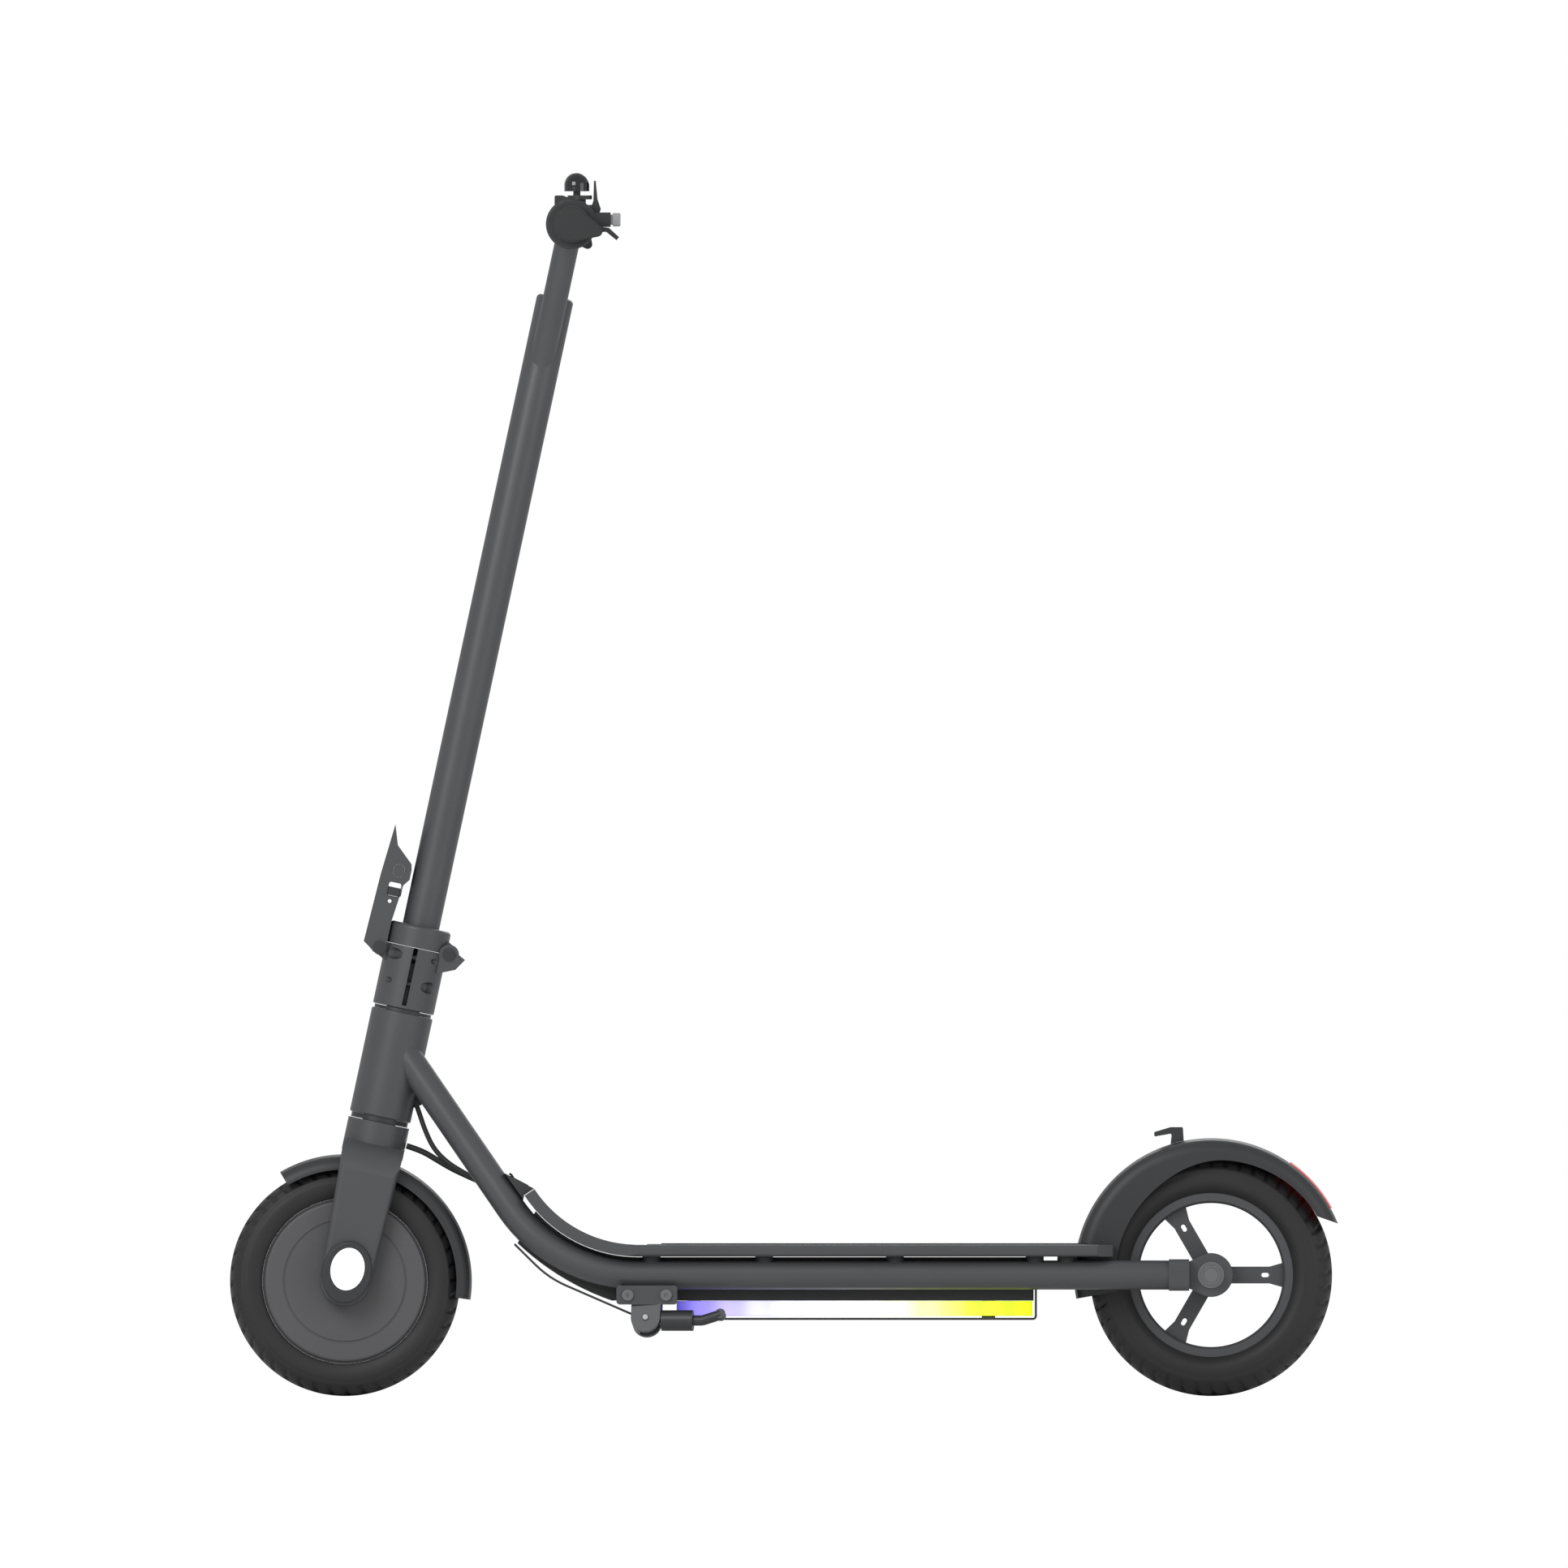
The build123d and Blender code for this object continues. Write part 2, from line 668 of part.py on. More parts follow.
skid_post_xs = (bend_x + 50.0, case_rear_x - 40.0)
skid_post_y = 20.0
skid_post_radius = 6.0
with BuildPart() as skid_spacers:
    for post_x in skid_post_xs:
        for side in (-1, 1):
            with BuildSketch(Plane.XY.offset(skid_bottom + skid_thickness + weld_gap)):
                with Locations((post_x, side * skid_post_y)):
                    Circle(skid_post_radius)
            extrude(amount=skid_gap - 2 * weld_gap)

with BuildPart() as frame_spacers:
    add(deck_spacers.part)
    add(skid_spacers.part)

# ---------------------------------------------------------------- kickstand
stand_x = case_rear_x - 343.5
stand_y = -(tube_half_spread + tube_radius)
stand_z = 67.0
stand_folded = Vector(1, -0.12, 0).normalized()
stand_deployed = Vector(0.05, -0.35, -0.935).normalized()
stand_axis = stand_folded.cross(stand_deployed).normalized()
stand_plane = Plane(origin=(stand_x, stand_y, stand_z), x_dir=stand_folded, z_dir=stand_axis)
cheek_thickness = 4.0
eye_thickness = 8.0
cheek_radius = 13.0
eye_radius = 9.0
stand_pin_radius = 3.0
bracket_length = 54.0
bracket_top = tube_z - 9.3
bracket_bottom = tube_z - 26.2
bracket_thickness = 6.0
bracket_outer = stand_y - 5.0
bracket_middle_x = stand_x + 0.4
bracket_bolt_spread = 34.0
stand_sleeve_radius = 9.2
stand_sleeve_end = 41.0
stand_rod_radius = 4.6
stand_bend = 50.0
stand_tip = (66.0, -5.5)
stand_slot_back = eye_thickness / 2 + 3 * running_gap
stand_slot_depth = stand_sleeve_end + 2 * eye_radius

with BuildPart() as kickstand_bracket:
    with BuildSketch(Plane.XZ.offset(-bracket_outer - bracket_thickness)):
        with Locations((bracket_middle_x, (bracket_top + bracket_bottom) / 2)):
            RectangleRounded(bracket_length, bracket_top - bracket_bottom, 3)
    extrude(amount=bracket_thickness)
    with BuildSketch(Plane.XZ.offset(-bracket_outer - bracket_thickness)):
        with Locations((bracket_middle_x, (bracket_top + bracket_bottom) / 2)):
            Rectangle(bracket_length - 8, bracket_top - bracket_bottom)
    extrude(amount=-2 * tube_radius + bracket_thickness)
    with BuildSketch(Plane.YZ):
        with Locations((-tube_half_spread, tube_z)):
            Circle(tube_radius + weld_gap)
    extrude(amount=overall_length / 2, both=True, mode=Mode.SUBTRACT)
    # The clevis: two round cheeks on the tilted hinge axis, and a web over them up to the shelf.
    with BuildSketch(stand_plane):
        Circle(cheek_radius)
        with Locations((0, -cheek_radius * 0.75)):
            Rectangle(2 * cheek_radius, cheek_radius * 1.5)
    extrude(amount=eye_thickness / 2 + running_gap + cheek_thickness, both=True)
    with BuildSketch(stand_plane):
        Circle(eye_radius + 1.5 * running_gap)
        with Locations(((stand_sleeve_end - stand_slot_back) / 2, stand_slot_depth / 2 - eye_radius - running_gap)):
            Rectangle(stand_sleeve_end + stand_slot_back, stand_slot_depth)
    extrude(amount=eye_thickness / 2 + running_gap, both=True, mode=Mode.SUBTRACT)
    with BuildSketch(stand_plane):
        Circle(stand_pin_radius + shaft_fit)
    extrude(amount=2 * cheek_radius, both=True, mode=Mode.SUBTRACT)
    for bolt_x in (-bracket_bolt_spread / 2, bracket_bolt_spread / 2):
        with BuildSketch(Plane.XZ.offset(-bracket_outer)):
            with Locations((bracket_middle_x + bolt_x, (bracket_top + bracket_bottom) / 2)):
                Circle(screw_radius + weld_gap)
        extrude(amount=-bracket_thickness * 2, mode=Mode.SUBTRACT)

with BuildPart() as kickstand_bolts:
    for bolt_x in (-bracket_bolt_spread / 2, bracket_bolt_spread / 2):
        with BuildSketch(Plane.XZ.offset(-bracket_outer + weld_gap)):
            with Locations((bracket_middle_x + bolt_x, (bracket_top + bracket_bottom) / 2)):
                Circle(screw_head_radius)
                RegularPolygon(2.0, 6, mode=Mode.SUBTRACT)
        extrude(amount=screw_head_height)
        with BuildSketch(Plane.XZ.offset(-bracket_outer + weld_gap)):
            with Locations((bracket_middle_x + bolt_x, (bracket_top + bracket_bottom) / 2)):
                Circle(screw_radius)
        extrude(amount=-bracket_thickness * 2)

with BuildPart() as kickstand_pin:
    with BuildSketch(stand_plane):
        Circle(stand_pin_radius)
    extrude(amount=eye_thickness / 2 + running_gap + cheek_thickness + 1.5, both=True)
    chamfer(kickstand_pin.edges(), length=0.6)

with BuildPart() as kickstand_leg:
    with BuildSketch(stand_plane):
        Circle(eye_radius)
        with Locations((cheek_radius / 2 + 1, 0)):
            Rectangle(cheek_radius + 2, eye_thickness)
    extrude(amount=eye_thickness / 2, both=True)
    sleeve_start = stand_plane.from_local_coords(Vector(cheek_radius + 2 * running_gap, 0, 0))
    with BuildSketch(Plane(origin=sleeve_start, z_dir=stand_plane.x_dir)):
        Circle(stand_sleeve_radius)
    extrude(amount=stand_sleeve_end - cheek_radius)
    with BuildLine(stand_plane):
        leg_line = FilletPolyline((stand_sleeve_end - 4, 0), (stand_bend, 0), stand_tip, radius=12)
    with BuildSketch(Plane(origin=leg_line @ 0, z_dir=leg_line % 0)):
        Circle(stand_rod_radius)
    sweep(path=leg_line)
    with BuildSketch(Plane(origin=stand_plane.from_local_coords(Vector(*stand_tip, 0)), z_dir=stand_axis)):
        Circle(stand_rod_radius)
    extrude(amount=stand_rod_radius * 0.8, both=True)
    with BuildSketch(stand_plane):
        Circle(stand_pin_radius + shaft_fit)
    extrude(amount=eye_thickness, both=True, mode=Mode.SUBTRACT)

# ---------------------------------------------------------------- rear fender, hook and tail light
crown_drop = 2.0
shoulder_radius = 14.0


def fender_section(crown, half_width, wall, reach):
    """Section of a fender across the wheel: x is across and y is the radius from the axle."""
    with BuildSketch() as section:
        for inset, keep in ((0, Mode.ADD), (wall, Mode.SUBTRACT)):
            half = half_width - inset
            with BuildLine():
                crown_line = ThreePointArc(
                    (-half + shoulder_radius / 2, crown - inset - crown_drop),
                    (0, crown - inset),
                    (half - shoulder_radius / 2, crown - inset - crown_drop),
                )
                right = ThreePointArc(
                    crown_line @ 1,
                    (half - shoulder_radius * 0.12, crown - inset - crown_drop - shoulder_radius * 0.36),
                    (half, crown - inset - shoulder_radius),
                )
                left = ThreePointArc(
                    crown_line @ 0,
                    (-half + shoulder_radius * 0.12, crown - inset - crown_drop - shoulder_radius * 0.36),
                    (-half, crown - inset - shoulder_radius),
                )
                Polyline(right @ 1, (half, reach - 2 * inset), (-half, reach - 2 * inset), left @ 1)
            make_face(mode=keep)
    return section.sketch


def fender_plane(centre, angle_degrees):
    """Section plane through a wheel's axle at an angle of its side view: x is across, y is outwards."""
    outward = Vector(cos(radians(angle_degrees)), 0, sin(radians(angle_degrees)))
    return Plane(origin=centre, x_dir=(0, 1, 0), z_dir=Vector(0, 1, 0).cross(outward))


skirt_line = [(190, 84.0), (157, 85.7), (120, 91.7), (90, 101.2), (70, 104.0), (29, 107.5)]
hook_degrees = 104.5
hook_thickness = 3.8
hook_half_width = 9.0
hook_height = 13.6
hook_reach = 22.0
hook_post_length = 11.0
hook_drop = 3.2
lens_start_degrees = 29.0
lens_end_degrees = 55.0
lens_half_width = 17.0
lens_depth = 7.0
lens_proud = 1.4
fender_pad_half_width = 24.0
fender_pad_half_height = 8.0
fender_screw_y = 15.0

with BuildPart() as rear_fender:
    with BuildSketch(fender_plane(rear_axle, fender_tip_degrees)):
        add(fender_section(fender_radius, fender_half_width, fender_wall, 70))
    revolve(axis=Axis(rear_axle, (0, -1, 0)), revolution_arc=fender_front_degrees - fender_tip_degrees)
    with BuildSketch(rear_side):
        with BuildLine():
            skirt = Spline([polar(radius, angle) for angle, radius in skirt_line])
            Polyline(skirt @ 1, polar(fender_radius + 8, fender_tip_degrees - 3), polar(fender_radius - 12, -10),
                     (0, -40), polar(75, 200), skirt @ 0)
        make_face()
    extrude(amount=2 * fender_half_width, both=True, mode=Mode.SUBTRACT)
    # Mounting pad against the crossmember.
    with BuildSketch(facing_rear(rear_axle_x - crossmember_setback + crossmember_thickness + weld_gap, 0, tube_z)):
        Rectangle(2 * fender_pad_half_width, 2 * fender_pad_half_height)
    extrude(amount=crossmember_setback - crossmember_thickness - fender_radius + 3.4)
    with BuildSketch(facing_rear(rear_axle_x - crossmember_setback, 0, tube_z)):
        with Locations((-fender_screw_y, 0), (fender_screw_y, 0)):
            Circle(screw_radius + weld_gap)
    extrude(amount=crossmember_setback, mode=Mode.SUBTRACT)
    # Window for the tail light.
    with BuildSketch(fender_plane(rear_axle, lens_start_degrees - 0.15)):
        with Locations((0, fender_radius)):
            Rectangle(2 * (lens_half_width + seat_gap), 4 * fender_wall)
    revolve(
        axis=Axis(rear_axle, (0, -1, 0)),
        revolution_arc=lens_end_degrees - lens_start_degrees + 0.3,
        mode=Mode.SUBTRACT,
    )

with BuildPart() as tail_light_lens:
    with BuildSketch(fender_plane(rear_axle, lens_start_degrees)):
        with BuildLine():
            lens_crown = ThreePointArc(
                (-lens_half_width, fender_radius + lens_proud - 1.4),
                (0, fender_radius + lens_proud),
                (lens_half_width, fender_radius + lens_proud - 1.4),
            )
            Polyline(
                lens_crown @ 1,
                (lens_half_width, fender_radius - lens_depth),
                (-lens_half_width, fender_radius - lens_depth),
                lens_crown @ 0,
            )
        make_face()
    revolve(axis=Axis(rear_axle, (0, -1, 0)), revolution_arc=lens_end_degrees - lens_start_degrees)

hook_foot = Vector(*polar(fender_radius, hook_degrees))
with BuildPart() as fender_hook:
    with BuildSketch(rear_side):
        with BuildLine():
            FilletPolyline(
                hook_foot + Vector(-hook_post_length / 2, -2),
                hook_foot + Vector(-hook_post_length / 2 + 1, hook_height - 1.5 * hook_thickness),
                hook_foot + Vector(-hook_reach + 2, hook_height - hook_drop - 1.4 * hook_thickness),
                hook_foot + Vector(-hook_reach + 2, hook_height - hook_drop - 0.3 * hook_thickness),
                hook_foot + Vector(-hook_post_length / 2, hook_height),
                hook_foot + Vector(hook_post_length / 2, hook_height),
                hook_foot + Vector(hook_post_length / 2 + 1, -2),
                radius=1.2,
            )
            Line(hook_foot + Vector(hook_post_length / 2 + 1, -2), hook_foot + Vector(-hook_post_length / 2, -2))
        make_face()
    extrude(amount=hook_half_width, both=True)
    with BuildSketch(rear_side):
        Circle(fender_radius + weld_gap)
    extrude(amount=2 * hook_half_width, both=True, mode=Mode.SUBTRACT)

with BuildPart() as fender_screws:
    for side in (-1, 1):
        with BuildSketch(facing_rear(rear_axle_x - crossmember_setback + crossmember_thickness + weld_gap, 0, tube_z)):
            with Locations((side * fender_screw_y, 0)):
                Circle(screw_radius)
        extrude(amount=crossmember_setback - crossmember_thickness - fender_radius + 3.4 + 0.2)
        head_x = rear_axle_x - fender_radius + 3.4 + weld_gap + 0.2
        with BuildSketch(facing_rear(head_x, 0, tube_z)):
            with Locations((side * fender_screw_y, 0)):
                Circle(screw_head_radius - 1)
        extrude(amount=screw_head_height)

# ---------------------------------------------------------------- rear wheel
tyre_seat = 6.0
hub_half_length = 24.0
wheel_bearing_radius = 16.0
wheel_bearing_width = 8.0
spoke_thickness = 12.0
spoke_slot_radius = 48.0
spoke_slot = (6.6, 3.8)

def rear_spoke():
    """Outline of one spoke, which widens where it meets the rim."""
    with BuildSketch() as outline:
        with BuildLine():
            Polyline(
                (rear_hub_radius - 4, -spoke_width / 2),
                (rear_rim_inner_radius - 12, -spoke_width / 2),
                (rear_rim_inner_radius + 2, -spoke_width / 2 - 4),
                (rear_rim_inner_radius + 2, spoke_width / 2 + 4),
                (rear_rim_inner_radius - 12, spoke_width / 2),
                (rear_hub_radius - 4, spoke_width / 2),
                close=True,
            )
        make_face()
    return outline.sketch


with BuildPart() as rear_wheel:
    with BuildSketch(fender_plane(rear_axle, 0)):
        with BuildLine():
            Polyline(
                (-rear_rim_half_width, rear_rim_radius),
                (-rear_rim_half_width + 3, rear_rim_radius),
                (-rear_rim_half_width + 5, rear_rim_radius - tyre_seat),
                (rear_rim_half_width - 5, rear_rim_radius - tyre_seat),
                (rear_rim_half_width - 3, rear_rim_radius),
                (rear_rim_half_width, rear_rim_radius),
                (rear_rim_half_width, rear_rim_inner_radius + 2),
                (rear_rim_half_width - 4, rear_rim_inner_radius),
                (-rear_rim_half_width + 4, rear_rim_inner_radius),
                (-rear_rim_half_width, rear_rim_inner_radius + 2),
                close=True,
            )
        make_face()
    revolve(axis=Axis(rear_axle, (0, -1, 0)))
    with BuildSketch(rear_side):
        Circle(rear_hub_radius)
    extrude(amount=hub_half_length, both=True)
    with BuildSketch(rear_side):
        with PolarLocations(0, spoke_count):
            add(rear_spoke())
        with PolarLocations(spoke_slot_radius, spoke_count):
            SlotOverall(*spoke_slot, mode=Mode.SUBTRACT)
    extrude(amount=spoke_thickness, both=True)
    with BuildSketch(rear_side):
        Circle(axle_radius + 3)
    extrude(amount=hub_half_length, both=True, mode=Mode.SUBTRACT)
    for side in (-1, 1):
        with BuildSketch(rear_side.offset(side * (hub_half_length - wheel_bearing_width))):
            Circle(wheel_bearing_radius + shaft_fit)
        extrude(amount=side * wheel_bearing_width, mode=Mode.SUBTRACT)

with BuildPart() as rear_bearings:
    for side in (-1, 1):
        with BuildSketch(rear_side.offset(side * (hub_half_length - wheel_bearing_width))):
            Circle(wheel_bearing_radius)
            Circle(axle_radius + shaft_fit, mode=Mode.SUBTRACT)
        extrude(amount=side * wheel_bearing_width)

tyre_bead_gap = 0.05
with BuildPart() as rear_tyre:
    with BuildSketch(fender_plane(rear_axle, 0)):
        with BuildLine():
            tread = ThreePointArc(
                (-rear_tyre_half_width + 3, rear_tyre_radius - 10),
                (0, rear_tyre_radius),
                (rear_tyre_half_width - 3, rear_tyre_radius - 10),
            )
            right_wall = ThreePointArc(
                tread @ 1,
                (rear_tyre_half_width, rear_tyre_radius - 19),
                (rear_rim_half_width, rear_rim_radius + tyre_bead_gap),
            )
            left_wall = ThreePointArc(
                tread @ 0,
                (-rear_tyre_half_width, rear_tyre_radius - 19),
                (-rear_rim_half_width, rear_rim_radius + tyre_bead_gap),
            )
            Polyline(
                right_wall @ 1,
                (rear_rim_half_width - 3 - tyre_bead_gap, rear_rim_radius + tyre_bead_gap),
                (rear_rim_half_width - 5 - tyre_bead_gap, rear_rim_radius - tyre_seat + tyre_bead_gap),
                (-rear_rim_half_width + 5 + tyre_bead_gap, rear_rim_radius - tyre_seat + tyre_bead_gap),
                (-rear_rim_half_width + 3 + tyre_bead_gap, rear_rim_radius + tyre_bead_gap),
                left_wall @ 1,
            )
        make_face()
    revolve(axis=Axis(rear_axle, (0, -1, 0)))

rear_axle_half_length = dropout_inner + dropout_thickness + 14.0
with BuildPart() as rear_axle_rod:
    with BuildSketch(rear_side):
        Circle(axle_radius)
    extrude(amount=rear_axle_half_length, both=True)
    for side in (-1, 1):
        with BuildSketch(rear_side.offset(side * (hub_half_length + running_gap))):
            Circle(axle_radius + 4)
        extrude(amount=side * (dropout_inner - hub_half_length - running_gap - weld_gap))

washer_radius = 11.7
washer_thickness = 1.6
nut_radius = 9.4
nut_thickness = 7.0


def axle_nuts(centre_plane, seat):
    """Washer and acorn nut on each end of an axle, seated at the given half width."""
    with BuildPart() as nuts:
        for side in (-1, 1):
            with BuildSketch(centre_plane.offset(side * (seat + weld_gap))):
                Circle(washer_radius)
                Circle(axle_radius + shaft_fit, mode=Mode.SUBTRACT)
            extrude(amount=side * washer_thickness)
            with BuildSketch(centre_plane.offset(side * (seat + weld_gap + washer_thickness))):
                RegularPolygon(nut_radius, 6)
                Circle(axle_radius + shaft_fit, mode=Mode.SUBTRACT)
            extrude(amount=side * nut_thickness)
    return nuts


with BuildPart() as rear_axle_and_nuts:
    add(rear_axle_rod.part)
    add(axle_nuts(rear_side, dropout_inner + dropout_thickness).part)

with BuildPart() as frame_screws:
    for group in (deck_screws, fender_screws, kickstand_bolts):
        add(group.part)

# ---------------------------------------------------------------- fork and steering column
steering_front = Plane(origin=front_axle, x_dir=(0, 1, 0), z_dir=steering.x_dir)
fork_outer_half_width = fork_inner_half_width + fork_leg_thickness
steerer_bottom = crown_bottom + 7.5
nut_recess_radius = washer_radius + 1.0
nut_recess_depth = 7.0

shoulder_height = 124.0
shoulder_reach = sqrt(column_radius**2 + shoulder_height**2)
tangent_angle = degrees(atan2(shoulder_height, column_radius) - acos(fork_end_radius / shoulder_reach))
leg_rounding = 5.0

with BuildPart() as fork:
    with BuildSketch(steering_side):
        with BuildLine():
            Line(polar(fork_end_radius, tangent_angle), (column_radius, shoulder_height))
            Line((column_radius, shoulder_height), (-column_radius, shoulder_height))
            Line((-column_radius, shoulder_height), polar(fork_end_radius, 180 - tangent_angle))
            ThreePointArc(
                polar(fork_end_radius, 180 - tangent_angle),
                (0, -fork_end_radius),
                polar(fork_end_radius, tangent_angle),
            )
        make_face()
    extrude(amount=fork_outer_half_width, both=True)
    fillet(fork.faces().filter_by(Axis.Y).edges(), radius=leg_rounding)
    with BuildSketch(steering_front):
        with BuildLine():
            Line((-fork_outer_half_width, -40), (-fork_outer_half_width, 86))
            ThreePointArc((-fork_outer_half_width, 86), (-43.5, 110), (-column_radius, shoulder_height))
            Line((-column_radius, shoulder_height), (column_radius, shoulder_height))
            ThreePointArc((column_radius, shoulder_height), (43.5, 110), (fork_outer_half_width, 86))
            Line((fork_outer_half_width, 86), (fork_outer_half_width, -40))
            Line((fork_outer_half_width, -40), (fork_inner_half_width, -40))
            Line((fork_inner_half_width, -40), (fork_inner_half_width, 84))
            ThreePointArc((fork_inner_half_width, 84), (31.8, 103), (22, crown_bottom))
            Line((22, crown_bottom), (-22, crown_bottom))
            ThreePointArc((-22, crown_bottom), (-31.8, 103), (-fork_inner_half_width, 84))
            Line((-fork_inner_half_width, 84), (-fork_inner_half_width, -40))
            Line((-fork_inner_half_width, -40), (-fork_outer_half_width, -40))
        make_face()
    extrude(amount=2 * column_radius, both=True, mode=Mode.INTERSECT)
    with BuildSketch(steering.offset(crown_bottom)):
        Circle(column_radius)
    extrude(amount=crown_top - crown_bottom)
    with BuildSketch(steering.offset(steerer_bottom)):
        Circle(steerer_radius + shaft_fit)
    extrude(amount=crown_top, mode=Mode.SUBTRACT)
    with BuildSketch(steering_side):
        Circle(axle_radius + shaft_fit)
    extrude(amount=fork_outer_half_width + 1, both=True, mode=Mode.SUBTRACT)
    for side in (-1, 1):
        with BuildSketch(steering_side.offset(side * (fork_outer_half_width - nut_recess_depth))):
            Circle(nut_recess_radius)
        extrude(amount=side * nut_recess_depth, mode=Mode.SUBTRACT)
    with BuildSketch(steering.offset(crown_bottom - 1)):
        Circle(screw_radius + weld_gap)
    extrude(amount=steerer_bottom - crown_bottom + 2, mode=Mode.SUBTRACT)

with BuildPart() as steerer_tube:
    with BuildSketch(steering.offset(steerer_bottom + weld_gap)):
        Circle(steerer_radius)
        Circle(steerer_radius - steerer_wall, mode=Mode.SUBTRACT)
    extrude(amount=steerer_top - steerer_bottom)

cover_thickness = 6.4
cover_centre = 8.0
cover_semi = (22.0, 28.0)
reflector_semi = (15.0, 19.0)
reflector_centre = 10.9
reflector_recess = 1.2
reflector_thickness = 2.0
with BuildPart() as dropout_covers:
    for side in (-1, 1):
        with BuildSketch(steering_side.offset(side * (fork_outer_half_width + weld_gap))):
            with Locations((0, cover_centre)):
                Ellipse(*cover_semi)
        extrude(amount=side * cover_thickness)
        with BuildSketch(steering_side.offset(side * fork_outer_half_width)):
            Circle(nut_recess_radius)
        extrude(amount=side * 3.5, mode=Mode.SUBTRACT)
        with BuildSketch(steering_side.offset(side * (fork_outer_half_width + weld_gap + cover_thickness))):
            with Locations((0, reflector_centre)):
                Ellipse(reflector_semi[0] + seat_gap, reflector_semi[1] + seat_gap)
        extrude(amount=-side * reflector_recess, mode=Mode.SUBTRACT)
    cover_rims = dropout_covers.edges().filter_by(
        lambda e: abs(e.center().Y) > fork_outer_half_width + cover_thickness and e.length > 6 * cover_semi[0]
    )
    fillet(cover_rims, radius=2.0)

with BuildPart() as fork_reflectors:
    for side in (-1, 1):
        seat = fork_outer_half_width + 2 * weld_gap + cover_thickness - reflector_recess
        with BuildSketch(steering_side.offset(side * seat)):
            with Locations((0, reflector_centre)):
                Ellipse(*reflector_semi)
        extrude(amount=side * reflector_thickness)

front_fender_wall = 2.4
front_skirt_radius = 99.0
with BuildPart() as front_fender:
    with BuildSketch(fender_plane(front_axle, front_fender_rear_degrees)):
        add(fender_section(front_fender_radius, front_fender_half_width, front_fender_wall, 70))
    revolve(
        axis=Axis(front_axle, (0, -1, 0)),
        revolution_arc=front_fender_front_degrees - front_fender_rear_degrees,
    )
    with BuildSketch(front_side):
        Circle(front_skirt_radius)
    extrude(amount=front_fender_half_width + 1, both=True, mode=Mode.SUBTRACT)
    with BuildSketch(steering.offset(front_fender_radius - 1.6)):
        RectangleRounded(24, 28, 4)
    extrude(amount=crown_bottom - weld_gap - front_fender_radius + 1.6)
    with BuildSketch(steering.offset(front_fender_radius - 6)):
        Circle(screw_radius + weld_gap)
    extrude(amount=12, mode=Mode.SUBTRACT)

# ---------------------------------------------------------------- hub motor and front tyre
stator_radius = 62.0
stator_half_width = 11.0
shell_inner_radius = 66.0
cover_hub_radius = 20.0
front_bearing_radius = 14.0
front_bearing_width = 8.0
groove_radius = 54.0
groove_width = 1.8
groove_depth = 0.9
motor_side = motor_half_width + motor_cover_bulge
front_axle_half_length = fork_outer_half_width + 2.0
nut_seat = fork_outer_half_width - nut_recess_depth

with BuildPart() as motor_shell:
    with BuildSketch(front_side):
        Circle(motor_rim_radius)
        Circle(shell_inner_radius, mode=Mode.SUBTRACT)
    extrude(amount=motor_half_width, both=True)

with BuildPart() as motor_covers:
    for side in (-1, 1):
        with BuildSketch(front_side.offset(side * (motor_half_width + weld_gap))):
            Circle(motor_cover_radius)
        extrude(amount=side * motor_cover_bulge)
        with BuildSketch(front_side.offset(side * (motor_half_width - front_bearing_width))):
            Circle(cover_hub_radius)
        extrude(amount=side * (front_bearing_width + 1))
        with BuildSketch(front_side.offset(side * (motor_half_width - front_bearing_width))):
            Circle(front_bearing_radius + shaft_fit)
        extrude(amount=side * front_bearing_width, mode=Mode.SUBTRACT)
        with BuildSketch(front_side.offset(side * motor_half_width / 2)):
            Circle(axle_radius + 4.0)
        extrude(amount=side * motor_half_width, mode=Mode.SUBTRACT)
        with BuildSketch(front_side.offset(side * (motor_side + weld_gap))):
            Circle(groove_radius + groove_width / 2)
            Circle(groove_radius - groove_width / 2, mode=Mode.SUBTRACT)
        extrude(amount=-side * groove_depth, mode=Mode.SUBTRACT)
    outer_rims = motor_covers.edges().filter_by(GeomType.CIRCLE).filter_by(
        lambda e: abs(e.radius - motor_cover_radius) < shaft_fit and abs(e.center().Y) > motor_half_width + 1
    )
    fillet(outer_rims, radius=2.4)

with BuildPart() as front_bearings:
    for side in (-1, 1):
        with BuildSketch(front_side.offset(side * (motor_half_width - front_bearing_width))):
            Circle(front_bearing_radius)
            Circle(axle_radius + shaft_fit, mode=Mode.SUBTRACT)
        extrude(amount=side * front_bearing_width)

with BuildPart() as motor_stator:
    with BuildSketch(front_side):
        Circle(stator_radius)
        Circle(axle_radius + shaft_fit, mode=Mode.SUBTRACT)
    extrude(amount=stator_half_width, both=True)

with BuildPart() as front_axle_rod:
    with BuildSketch(front_side):
        Circle(axle_radius)
    extrude(amount=front_axle_half_length, both=True)
    for side in (-1, 1):
        with BuildSketch(front_side.offset(side * (motor_half_width + weld_gap))):
            Circle(axle_radius + 3.0)
        extrude(amount=side * (fork_inner_half_width - motor_half_width - 2 * weld_gap))

with BuildPart() as front_axle_and_nuts:
    add(front_axle_rod.part)
    add(axle_nuts(steering_side, nut_seat).part)

